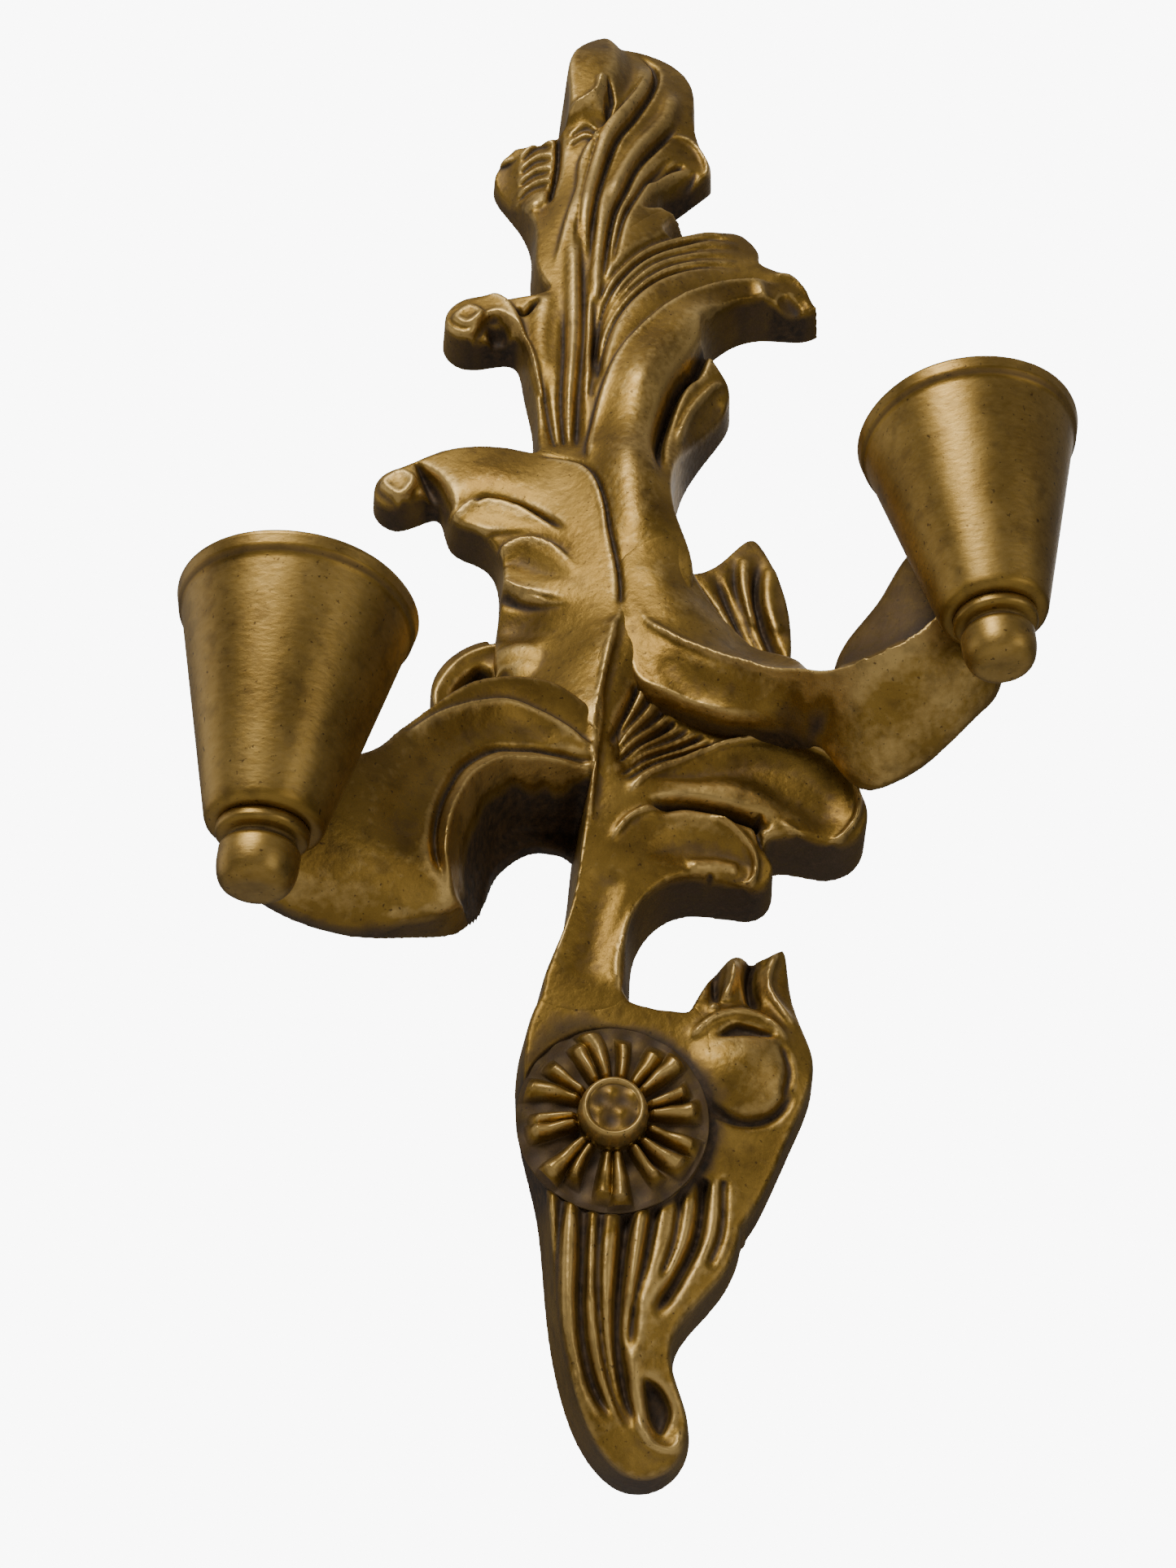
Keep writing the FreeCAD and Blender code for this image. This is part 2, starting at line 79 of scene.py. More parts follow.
RELIEF_NODES = (
    "crest_plume", "neck_volute", "right_c_scroll", "left_leaf", "stem_scroll", "tail_drape", "bud_leaf")
REAR_NODES = ("left_rear_leaf", "right_rear_leaf")
ARM_NODES = ("left_arm", "right_arm")


def box_mm(node):
    """Lowest and highest corner of a sub-part, in mm."""
    low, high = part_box(node)
    return np.array(low) / MM, np.array(high) / MM


def make_grid():
    """Grid of (x, z) points that covers every moulding and arm."""
    boxes = [box_mm(node) for node in RELIEF_NODES + REAR_NODES + ARM_NODES]
    low = np.min([low for low, high in boxes], axis=0) - GRID_MARGIN
    high = np.max([high for low, high in boxes], axis=0) + GRID_MARGIN
    return np.meshgrid(
        np.arange(low[0], high[0], CELL), np.arange(low[2], high[2], CELL), indexing="ij")


X, Z = make_grid()
X0, Z0 = X[0, 0], Z[0, 0]


def window(low_x, high_x, low_z, high_z):
    """Index ranges of the grid that cover a rectangle."""
    first_x = max(int((low_x - X0) / CELL), 0)
    last_x = min(int((high_x - X0) / CELL) + 2, X.shape[0])
    first_z = max(int((low_z - Z0) / CELL), 0)
    last_z = min(int((high_z - Z0) / CELL) + 2, X.shape[1])
    return slice(first_x, max(last_x, first_x)), slice(first_z, max(last_z, first_z))


def path_window(path, reach):
    """Index ranges of the grid within reach of a path's points."""
    low, high = path.min(axis=0) - reach, path.max(axis=0) + reach
    return window(low[0], high[0], low[1], high[1])


def sample(field, x, z):
    """A grid field read at any points, with straight-line interpolation."""
    u = np.clip((x - X0) / CELL, 0, X.shape[0] - 1.001)
    v = np.clip((z - Z0) / CELL, 0, X.shape[1] - 1.001)
    i, j = u.astype(int), v.astype(int)
    u, v = u - i, v - j
    lower = field[i, j] * (1 - u) + field[i + 1, j] * u
    upper = field[i, j + 1] * (1 - u) + field[i + 1, j + 1] * u
    return lower * (1 - v) + upper * v


# ---------------------------------------------------------------- outlines from the frame
def flat_face_outline(node):
    """Edges (x0, z0, x1, z1) round a sub-part's largest flat face parallel to the wall."""
    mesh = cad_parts[node].data
    mesh.calc_loop_triangles()
    points = np.round(np.array([v.co for v in mesh.vertices]) / MM, 3)
    faces = np.array([t.vertices for t in mesh.loop_triangles])
    depth = points[faces][:, :, 1]
    flat = np.ptp(depth, axis=1) < 1e-3
    corners = points[faces][:, :, [0, 2]]
    side_a, side_b = corners[:, 1] - corners[:, 0], corners[:, 2] - corners[:, 0]
    area = abs(side_a[:, 0] * side_b[:, 1] - side_a[:, 1] * side_b[:, 0])
    level = np.round(depth[:, 0], 2)
    best = max(set(level[flat]), key=lambda value: area[flat & (level == value)].sum())
    count = {}
    for triangle in corners[flat & (level == best)]:
        ends = [tuple(p) for p in triangle]
        for edge in zip(ends, ends[1:] + ends[:1]):
            key = tuple(sorted(edge))
            count[key] = count.get(key, 0) + 1
    return np.array([start + end for (start, end), used in count.items() if used == 1])


def segment_offset(x, z, start, end):
    """Offsets in x and z from the nearest place on a segment, and that place's share along it."""
    dx, dz = end[0] - start[0], end[1] - start[1]
    along = np.clip(((x - start[0]) * dx + (z - start[1]) * dz) / (dx * dx + dz * dz + 1e-9), 0, 1)
    return x - start[0] - along * dx, z - start[1] - along * dz, along


def edge_distance(edges):
    """Distance of every grid point from the nearest edge, up to EDGE_REACH."""
    result = np.full(X.shape, EDGE_REACH)
    for x0, z0, x1, z1 in edges:
        part = path_window(np.array([(x0, z0), (x1, z1)]), EDGE_REACH)
        off_x, off_z, _ = segment_offset(X[part], Z[part], (x0, z0), (x1, z1))
        result[part] = np.minimum(result[part], np.hypot(off_x, off_z))
    return result


def inside_outline(edges):
    """True where a grid point is inside the closed outline."""
    inside = np.zeros(X.shape, bool)
    for x0, z0, x1, z1 in edges:
        if z0 == z1:
            continue
        crosses = (z0 > Z[0]) != (z1 > Z[0])
        columns = np.nonzero(crosses)[0]
        at = x0 + (Z[0, columns] - z0) * (x1 - x0) / (z1 - z0)
        inside[:, columns] ^= X[:, columns] < at
    return inside


def signed_distance(edges):
    """Distance from a closed outline, negative inside it."""
    return np.where(inside_outline(edges), -1.0, 1.0) * edge_distance(edges)


def smooth_path(points, steps=7, closed=False):
    """Catmull-Rom curve through the points, joined into a loop if closed."""
    points = np.array(points, float)
    if closed:
        points = np.concatenate([points, points[:1]])
        padded = np.concatenate([points[-2:-1], points, points[1:2]])
    else:
        padded = np.concatenate([[2 * points[0] - points[1]], points, [2 * points[-1] - points[-2]]])
    share = np.linspace(0, 1, steps, endpoint=False)[:, None]
    pieces = []
    for a, b, c, d in zip(padded, padded[1:], padded[2:], padded[3:]):
        pieces.append(
            0.5 * (2 * b + (c - a) * share + (2 * a - 5 * b + 4 * c - d) * share ** 2
                   + (3 * b - a - 3 * c + d) * share ** 3))
    return np.concatenate(pieces + [points[-1:]])


def closed_edges(points):
    """Edges (x0, z0, x1, z1) of the smooth closed outline through some points."""
    path = smooth_path(points, 6, closed=True)
    return np.hstack([path[:-1], path[1:]])


# Carved ground that runs on behind the arms, as outlines (x, z).
GROUND_BEHIND = {
    "left_leaf": [(-34, 30), (-18, 34), (-4, 34), (-2, 12), (-4, -8), (-16, -4), (-30, 6), (-36, 18)],
    "left_rear_leaf": [(-50, 10), (-53, 24), (-46, 40), (-34, 46), (-26, 44), (-22, 28), (-28, 10)],
    "stem_scroll": [
        (1, 54), (9, 52), (11, 26), (20, 14), (34, 6), (50, 4), (64, 1), (71, -3), (72, -12), (44, -12),
        (20, -8), (4, 4)],
}
# Notches that the carver cut into the blanks' edges: left of the crest, and round the feathered
# lobe between the crest's right lobe and the volute.
NOTCHES = (
    [(-24, 316), (-24, 304), (-27, 299), (-34, 299), (-42, 301), (-47, 298), (-54, 304), (-48, 318),
     (-36, 326), (-27, 326)],
    [(21, 243), (27, 245), (35, 249), (43, 250), (50, 249), (55, 244), (58, 237), (58, 231), (62, 229),
     (70, 225), (75, 219), (80, 209), (90, 213), (84, 232), (70, 252), (52, 266), (42, 273), (34, 264),
     (28, 256), (23, 249)],
)

OUTLINES = {node: flat_face_outline(node) for node in RELIEF_NODES + REAR_NODES}
REGIONS = {node: signed_distance(edges) for node, edges in OUTLINES.items()}
GROUND_EDGES = {node: closed_edges(points) for node, points in GROUND_BEHIND.items()}
GROUND_REGIONS = {node: signed_distance(edges) for node, edges in GROUND_EDGES.items()}
NOTCH_EDGES = [closed_edges(points) for points in NOTCHES]
NOTCHED = np.min([signed_distance(edges) for edges in NOTCH_EDGES], axis=0)


def at_middles(field, edges):
    """A grid field read at the middle of every edge."""
    return sample(field, (edges[:, 0] + edges[:, 2]) / 2, (edges[:, 1] + edges[:, 3]) / 2)


def free_edge_depth():
    """Distance inwards from the relief's outer edge. Joints between mouldings don't count."""
    grounds = [node for node in RELIEF_NODES if node in GROUND_EDGES]
    outlines = [OUTLINES[node] for node in RELIEF_NODES] + [GROUND_EDGES[node] for node in grounds]
    regions = [REGIONS[node] for node in RELIEF_NODES] + [GROUND_REGIONS[node] for node in grounds]
    free = []
    for number, edges in enumerate(outlines):
        others = regions[:number] + regions[number + 1:]
        nearest = np.min([at_middles(field, edges) for field in others], axis=0)
        free.append(edges[(nearest > SEAM_TEST) & (at_middles(NOTCHED, edges) > 0)])
    nearest, second = np.sort(regions, axis=0)[:2]
    covered = ((nearest < 0) | (second < SEAM_TEST)) & (NOTCHED > 0)
    free += [edges[at_middles(nearest, edges) < 0] for edges in NOTCH_EDGES]
    return np.where(covered, 1.0, -1.0) * edge_distance(np.concatenate(free))


# ---------------------------------------------------------------- carving strokes
def path_coordinates(points, reach):
    """Grid part near a path, with the distance from it, the side and the share along it."""
    path = smooth_path(points)
    part = path_window(path, reach)
    x, z = X[part], Z[part]
    gap = np.full(x.shape, 1e6)
    side = np.zeros(x.shape)
    share = np.zeros(x.shape)
    for number, (start, end) in enumerate(zip(path, path[1:])):
        off_x, off_z, along = segment_offset(x, z, start, end)
        distance = np.hypot(off_x, off_z)
        closer = distance < gap
        gap = np.where(closer, distance, gap)
        turn = (end[0] - start[0]) * off_z - (end[1] - start[1]) * off_x
        side = np.where(closer, np.sign(turn), side)
        share = np.where(closer, (number + along) / (len(path) - 1), share)
    return part, gap, side, share


def smooth_step(share):
    """0 to 1 with level ends."""
    share = np.clip(share, 0, 1)
    return share * share * (3 - 2 * share)


def taper(share, start, end):
    """1 along a stroke, falling smoothly to 0 over the given shares at its two ends."""
    return smooth_step(share / max(start, 1e-6)) * smooth_step((1 - share) / max(end, 1e-6))


def ridge(field, points, width, height, ends=(0.2, 0.2), sharp=1.6):
    """Raised line, or a groove if the height is negative."""
    part, gap, _, share = path_coordinates(points, width)
    shape = np.clip(1 - gap / width, 0, 1) ** sharp
    field[part] += height * shape * taper(share, *ends)


def ribbon(field, points, width, height, ends=(0.15, 0.15)):
    """Broad rounded swelling, or a rounded channel if the height is negative."""
    part, gap, _, share = path_coordinates(points, width)
    near = np.clip(1 - (gap / width) ** 2, 0, 1)
    field[part] += height * near * near * taper(share, *ends)


CREASE = 0.6


def fold(field, points, width, height, ends=(0.15, 0.2)):
    """Overlapping edge: high on the left of the path, low on its right."""
    part, gap, side, share = path_coordinates(points, width * 3)
    step = np.clip(side * gap / CREASE, -1, 1) * np.exp(-gap / width)
    fade = np.clip(3 - gap / width, 0, 1)
    field[part] += height * step * fade * taper(share, *ends)


def fan(field, first, last, count, width, height, ends=(0.25, 0.25)):
    """Slightly uneven lines spread between two guide paths with the same number of points."""
    first, last = np.array(first, float), np.array(last, float)
    for number, share in enumerate(np.linspace(0, 1, count)):
        uneven = 1 + 0.28 * math.sin(2.4 * number + 1)
        sway = 0.6 * np.sin(np.arange(len(first)) * 1.9 + number * 2.1)[:, None]
        ridge(field, first * (1 - share) + last * share + sway, width, height * uneven, ends)


def knob(field, centre, radius, height):
    """Round button, or a dish if the height is negative."""
    part = window(centre[0] - radius, centre[0] + radius, centre[1] - radius, centre[1] + radius)
    away = np.hypot(X[part] - centre[0], Z[part] - centre[1]) / radius
    field[part] += height * np.clip(1 - away ** 2, 0, 1)


def patch(points, reach):
    """Grid part round a smooth closed outline, with the distance inside it (negative outside)."""
    path = smooth_path(points, 6, closed=True)
    part = path_window(path, reach)
    x, z = X[part], Z[part]
    gap = np.full(x.shape, 1e6)
    inside = np.zeros(x.shape, bool)
    for (x0, z0), (x1, z1) in zip(path, path[1:]):
        off_x, off_z, _ = segment_offset(x, z, (x0, z0), (x1, z1))
        gap = np.minimum(gap, np.hypot(off_x, off_z))
        crosses = (z0 > z) != (z1 > z)
        inside ^= crosses & (x < x0 + (z - z0) * (x1 - x0) / ((z1 - z0) or 1e-9))
    return part, np.where(inside, gap, -gap)


RIM_INSET = 1.4
RIM_SPREAD = 1.3


def terrace(field, points, height, edge=1.6, rim=0.0):
    """Area raised with a crisp edge, with a raised rim just inside the edge."""
    part, depth = patch(points, 4)
    field[part] += height * smooth_step(depth / edge + 0.5)
    field[part] += rim * np.exp(-((depth - RIM_INSET) / RIM_SPREAD) ** 2) * (depth > -1)


def scoop(field, points, depth_down, shoulder):
    """Smooth hollow that deepens from the outline inwards over the shoulder width."""
    part, depth = patch(points, 1)
    field[part] -= depth_down * smooth_step(depth / shoulder)


# ---------------------------------------------------------------- the relief's sweep
# Places on the carved front as (x, z, distance from the wall).
SHEET = (
    (-12, 338, 30), (-16, 352, 27), (8, 352, 24), (20, 330, 24), (30, 298, 18), (20, 282, 20),
    (-8, 292, 28), (0, 258, 27), (-14, 250, 27), (-40, 292, 15), (-34, 258, 14), (-24, 222, 22),
    (-14, 205, 23), (-18, 182, 20), (-22, 150, 18), (-14, 132, 18), (-55, 193, 13), (-42, 197, 16),
    (45, 240, 19), (26, 236, 21),
    (68, 212, 17), (45, 205, 22), (22, 182, 27), (10, 150, 29), (6, 110, 30), (10, 75, 30),
    (40, 152, 15), (32, 128, 17), (-75, 108, 13), (-60, 114, 16), (-40, 112, 20), (-15, 98, 24),
    (-46, 90, 18), (-33, 66, 17), (-14, 62, 25), (-20, 34, 20), (-32, 20, 16), (0, 26, 33),
    (-2, 2, 34), (-2, -20, 32),
    (16, 4, 23), (30, -4, 22), (58, -12, 24), (72, -20, 22), (32, -14, 25), (38, -38, 22), (20, -34, 25),
    (0, -50, 27), (-4, -78, 25), (4, -100, 23), (4, -121, 22), (4, -146, 24), (5, -180, 22), (16, -197, 17),
    (44, -100, 21), (38, -76, 16), (52, -68, 12), (44, -124, 17),
)


def smooth_sheet(controls):
    """Thin-plate surface through (x, z, depth) places, over the whole grid."""
    controls = np.array(controls, float)
    scale = 100.0

    def kernel(squared):
        return squared * np.log(squared + 1e-9)

    x, z = controls[:, 0] / scale, controls[:, 1] / scale
    count = len(controls)
    system = np.zeros((count + 3, count + 3))
    system[:count, :count] = kernel((x[:, None] - x) ** 2 + (z[:, None] - z) ** 2)
    system[:count, count:] = np.stack([np.ones(count), x, z], axis=1)
    system[count:, :count] = system[:count, count:].T
    weights = np.linalg.solve(system, np.concatenate([controls[:, 2], np.zeros(3)]))
    result = weights[count] + weights[count + 1] * X / scale + weights[count + 2] * Z / scale
    for weight, px, pz in zip(weights, x, z):
        result += weight * kernel((X / scale - px) ** 2 + (Z / scale - pz) ** 2)
    return result


def carve_crest(field):
    """Ball curl, centre plume with its long grooves, left small leaf and scooped right lobe."""
    terrace(field, [
        (-22, 350), (-15, 361), (-5, 361), (1, 350), (0, 327), (-5, 308), (-13, 302), (-20, 304),
        (-24, 320)], 5.5, 9)
    ridge(field, [(-21, 304), (-15, 306), (-9, 312), (-8, 322)], 3.0, 2.8, (0.2, 0.1))
    ridge(field, [(-8, 322), (-5, 315), (-4, 307)], 2.4, 2.2, (0.1, 0.3))
    scoop(field, [(-5, 323), (-1, 314), (-4, 302), (-7, 308)], 4.5, 2.4)
    for drop in range(2):
        level = 298 - 5 * drop
        fold(field, [(-20, level - 4), (-13, level), (-7, level - 4)], 2.0, 1.5)
    ridge(field, [(6, 360), (15, 348), (14, 330), (7, 309), (-1, 290), (-6, 266), (-9, 238), (-10, 190)],
          2.6, -5)
    ridge(field, [(26, 312), (16, 296), (8, 279), (3, 260), (-2, 238), (-6, 185)], 2.6, -5)
    ridge(field, [(24, 294), (14, 277), (8, 260), (2, 240), (-2, 210)], 2.2, -3.4)
    ribbon(field, [(10, 352), (10, 330), (2, 306), (-6, 284), (-10, 262), (-13, 235)], 6, 2.2)
    ribbon(field, [(24, 334), (20, 312), (10, 291), (3, 272), (-2, 252)], 5, 2.4)
    fold(field, [(-24, 214), (-20, 240), (-16, 262), (-15, 280), (-9, 294), (0, 308), (8, 326)], 3, -1.6)
    ridge(field, [(13, 342), (4, 318), (-6, 298), (-11, 276), (-14, 250), (-16, 215)], 1.4, -1.6)
    scoop(field, [(10, 252), (22, 258), (33, 274), (33, 288), (22, 280), (12, 266)], 6, 6)
    ridge(field, [(12, 270), (20, 283), (28, 290)], 2.4, -4)
    ridge(field, [(22, 306), (32, 302), (37, 290), (35, 274), (26, 258)], 2.4, 2.6)
    ribbon(field, [(-46, 294), (-46, 281), (-43, 268)], 8, -2.6, (0.02, 0.1))
    for drop in range(4):
        level = 296 - 6.5 * drop
        fold(field, [(-40, level - 5), (-33, level - 0.5 * drop), (-24, level - 4)], 2.4, 2.0, (0.15, 0.3))
    knob(field, (-32, 264), 6.5, 3)
    ribbon(field, [(-33, 264), (-34, 250), (-33, 239)], 5, 2)
    ridge(field, [(-24, 300), (-24, 280), (-27, 258)], 2.4, -5)


def carve_neck(field):
    """Flutes that rise from the neck's root, and the small left volute."""
    ridge(field, [(-12, 122), (-12, 150), (-11, 180), (-12, 215), (-14, 245)], 3.4, -3.6, (0.1, 0.3))
    ridge(field, [(-16, 124), (-18, 148), (-18, 172), (-19, 205)], 2.6, -3.0, (0.1, 0.3))
    ridge(field, [(-19, 124), (-23, 145), (-26, 165)], 2.2, -2.2, (0.1, 0.4))
    ridge(field, [(-8, 140), (-7, 165), (-7, 188), (-9, 214)], 2.2, -2.4, (0.2, 0.3))
    ribbon(field, [(-15, 130), (-15, 165), (-15, 200), (-16, 235)], 5, 1.8)
    ribbon(field, [(-26, 205), (-27, 185), (-26, 160)], 6, 1.5)
    terrace(field, [
        (-64, 190), (-62, 202), (-52, 208), (-43, 204), (-36, 194), (-30, 172), (-25, 152), (-31, 178),
        (-40, 190), (-46, 192), (-54, 182)], 4, 2.4, 0.6)
    terrace(field, [(-60, 192), (-54, 198), (-48, 192), (-54, 186)], 1.6, 1.2, 0.8)
    scoop(field, [(-47, 190), (-40, 190), (-34, 180), (-36, 176), (-46, 182)], 6, 3)
    ridge(field, [(-28, 202), (-33, 196), (-38, 198)], 2.6, -5)


def carve_scroll(field):
    """Feathered upper lobe, the long crowned band, the volute knob and the right leaf."""
    fan(field, [(-6, 150), (-4, 172), (3, 192), (16, 210), (32, 221), (52, 224)],
        [(-9, 165), (-5, 200), (6, 222), (20, 238), (36, 248), (50, 246)], 5, 2.6, -3.4, (0.12, 0.35))
    fold(field, [(64, 218), (50, 216), (38, 210), (25, 199), (13, 184), (2, 166), (-4, 148), (-8, 126),
                 (-8, 112)], 4, 2.2, (0.1, 0.1))
    ribbon(field, [(12, 62), (9, 85), (7, 106), (7, 128), (11, 148), (19, 166), (31, 184), (46, 198)],
           14, 3.5)
    scoop(field, [(24, 160), (30, 176), (32, 190), (42, 197), (54, 196), (56, 186), (40, 178), (32, 160)],
          9, 5)
    ridge(field, [(34, 186), (44, 190), (54, 184)], 2.4, 2.4)
    ridge(field, [(54, 218), (56, 208), (57, 198), (58, 188)], 5, 2.6, (0.25, 0.15))
    ridge(field, [(58, 222), (68, 223), (76, 215), (79, 203), (75, 193), (66, 190)], 3.4, 2.2, (0.2, 0.2))
    knob(field, (68, 207), 6.5, -4.5)
    ridge(field, [(66, 214), (72, 208), (70, 200)], 2.2, 1.8)
    ridge(field, [(30, 164), (24, 154), (19, 138), (16, 120), (17, 100)], 3.6, -9, (0.1, 0.3))
    ridge(field, [(41, 163), (34, 154), (27, 140), (22, 122)], 2.6, 3)
    ribbon(field, [(42, 154), (34, 138), (27, 118)], 6, -2)


def carve_left_leaf(field):
    """Broad leaf: eye and channel at its tip, a block lobe, a spoon lobe and a low lobe."""
    fold(field, [(4, 46), (3, 62), (0, 78), (-2, 92), (-6, 106), (-13, 115), (-24, 121)], 3, 1.0, (0.1, 0.1))
    ridge(field, [(4, 44), (3, 60), (0, 78), (-2, 92), (-6, 106), (-13, 115), (-26, 121)],
          1.3, -3.6, (0.05, 0.1))
    terrace(field, [(-79, 108), (-72, 114), (-66, 108), (-71, 100)], 3, 1.6, 0.8)
    scoop(field, [(-68, 120), (-58, 112), (-52, 98), (-56, 92), (-62, 100), (-66, 108)], 8, 4.5)
    ridge(field, [(-46, 97), (-41, 99), (-30, 95), (-20, 87), (-14, 80)], 1.8, -4, (0.1, 0.3))
    fold(field, [(-14, 82), (-28, 93), (-40, 99), (-48, 97), (-54, 89), (-50, 85), (-40, 84), (-24, 84)],
         3.2, 2.4, (0.25, 0.3))
    fold(field, [(-8, 60), (-18, 75), (-29, 80), (-38, 75), (-39, 68), (-32, 60), (-22, 55), (-10, 50)],
         3.4, 2.8, (0.25, 0.3))
    ridge(field, [(-37, 72), (-35, 63), (-28, 57), (-18, 52)], 1.8, 1.6)
    scoop(field, [(-36, 71), (-29, 77), (-20, 72), (-11, 60), (-22, 59), (-31, 65)], 2.0, 9)
    fold(field, [(-38, 66), (-33, 60), (-27, 55), (-19, 51), (-8, 48)], 5, 2.2, (0.02, 0.5))
    ribbon(field, [(-38, 50), (-28, 46), (-16, 42)], 8, -3, (0.02, 0.6))
    knob(field, (-29, 30), 9, 3)
    knob(field, (-32, 25), 3.5, -3)
    ribbon(field, [(-38, 36), (-24, 36), (-12, 30)], 6, 1.6, (0.02, 0.5))


def carve_stem(field):
    """Hub ridge with a fold beside it, the fluted fan, two scooped leaves and the stem."""
    fold(field, [(-4, -40), (-3, -20), (-3, -4), (-1, 14), (3, 40)], 4.5, 1.6, (0.2, 0.05))
    ridge(field, [(4, 46), (2, 30), (-1, 12), (-2, -4), (-3, -20), (-4, -40)], 2.2, 2.4)
    fan(field, [(1, -10), (4, 0), (10, 16)], [(4, -22), (16, -10), (34, 0)], 7, 1.7, -3.6, (0.2, 0.1))
    scoop(field, [(12, -18), (24, -8), (42, -1), (60, -3), (73, -14), (73, -27), (64, -32), (52, -27),
                  (40, -20), (24, -20)], 3.4, 9)
    ridge(field, [(6, -26), (12, -18), (22, -10), (34, -2), (48, 1), (60, -1), (70, -7), (75, -16), (74, -26),
                  (66, -34), (57, -32), (50, -27)], 1.8, 2.8, (0.08, 0.1))
    ridge(field, [(12, -28), (24, -25), (38, -27), (50, -30)], 3.4, -9)
    ridge(field, [(46, -25), (45, -31), (47, -38)], 1.6, -4)
    scoop(field, [(12, -44), (18, -33), (32, -31), (44, -38), (44, -45), (30, -46)], 2.4, 8)
    ridge(field, [(1, -42), (8, -32), (18, -27), (30, -27), (38, -32), (44, -40), (42, -48), (30, -49)],
          1.8, 2.6, (0.1, 0.1))
    ribbon(field, [(24, -45), (32, -43), (40, -44)], 4, 1.6)
    knob(field, (31, -47), 1.2, -3)
    ridge(field, [(-5, -36), (-9, -58), (-13, -80)], 2.4, 1.6)
    ridge(field, [(20, -49), (10, -60), (5, -74), (5, -87)], 2.4, 1.6)
    ribbon(field, [(2, -48), (-2, -64), (-4, -84)], 7, -1.6)


def carve_tail(field):
    """Uneven drapery folds that gather downwards, and a dish inside the bottom curl."""
    grooves = (
        ([(-8, -138), (-9, -158), (-8, -174), (-4, -187)], 2.2, -3.0),
        ([(-3, -138), (-3, -156), (-3, -171), (0, -185), (6, -195)], 2.6, -4.2),
        ([(2, -139), (1, -158), (2, -174), (5, -187), (10, -197)], 1.8, -2.6),
        ([(9, -138), (7, -157), (6, -174), (8, -187), (12, -196)], 3.0, -5.0),
        ([(16, -138), (13, -155), (10, -168), (9, -180)], 2.2, -3.4),
        ([(22, -137), (20, -151), (16, -162)], 1.8, -2.4),
        ([(28, -134), (26, -149), (21, -160), (14, -171)], 2.8, -4.6),
        ([(33, -134), (32, -148), (28, -158)], 1.8, -2.2),
        ([(-13, -138), (-13, -150), (-13, -163)], 2.4, -4.0))
    for path, width, height in grooves:
        ridge(field, path, width, height, (0.04, 0.2))
    ribbon(field, [(12, -140), (10, -156), (9, -170)], 4, 1.6)
    ribbon(field, [(-6, -140), (-6, -158), (-5, -176)], 3.5, 1.4)
    scoop(field, [(12, -184), (17, -185), (20, -191), (17, -197), (13, -193)], 4.5, 2.4)
    ridge(field, [(10, -178), (10, -189), (14, -198), (20, -199), (22, -193)], 2.2, 2.2, (0.3, 0.2))


def carve_bud(field):
    """Bulging bud with a dark eye under its upper rim, two creases and two ridged tips."""
    knob(field, (39, -105), 15, 3)
    ridge(field, [(24, -98), (31, -91), (39, -88), (47, -91), (52, -98)], 2.6, 2.6, (0.1, 0.2))
    scoop(field, [(31, -97), (37, -91), (46, -93), (47, -96), (38, -97)], 4.0, 2.2)
    ridge(field, [(49, -97), (51, -105), (49, -113)], 2.2, -2.6)
    ridge(field, [(27, -115), (37, -119), (46, -117), (53, -109)], 2.4, -3.4)
    ridge(field, [(29, -90), (36, -80), (38, -69)], 2.6, 3.6)
    ridge(field, [(43, -87), (42, -76), (44, -66)], 3.2, -8)
    ridge(field, [(33, -88), (32, -79), (34, -69)], 3.4, -5, (0.2, 0.05))
    ridge(field, [(54, -92), (47, -78), (51, -64)], 2.4, 3)


# Distance from the wall of the carved ground round the rosette.
ROSETTE_GROUND = 22.5
SEAT_GAP = 0.1


def rosette_circle():
    """Centre of the rosette and its radius, in mm."""
    low, high = box_mm("rosette")
    return (low + high) / 2, (high[0] - low[0]) / 2


def ground_lift():
    """Height of the carved ground round the rosette above the rosette's seat."""
    return ROSETTE_GROUND + box_mm("rosette")[1][1]


def seat_rosette(top):
    """Flat round seat for the rosette."""
    centre, radius = rosette_circle()
    away = np.hypot(X - centre[0], Z - centre[2])
    flat = np.clip((radius + 0.3 - away) / 0.6, 0, 1)
    return top * (1 - flat) + (-box_mm("rosette")[1][1] - SEAT_GAP) * flat


def smooth_min(first, second):
    """Lesser of two heights, with a rounded corner between them."""
    mix = np.clip(0.5 + 0.5 * (second - first) / (FLANK_BLEND * 2), 0, 1)
    return second * (1 - mix) + first * mix - FLANK_BLEND * 2 * mix * (1 - mix)


def carved_top():
    """Front surface of the mouldings before their flanks are cut."""
    top = smooth_sheet(SHEET)
    for carve in (
            carve_crest, carve_neck, carve_scroll, carve_left_leaf, carve_stem, carve_tail, carve_bud):
        carve(top)
    return seat_rosette(top)


THINNEST_LEAF = 3.0
FOLD_ROOM = 2.5


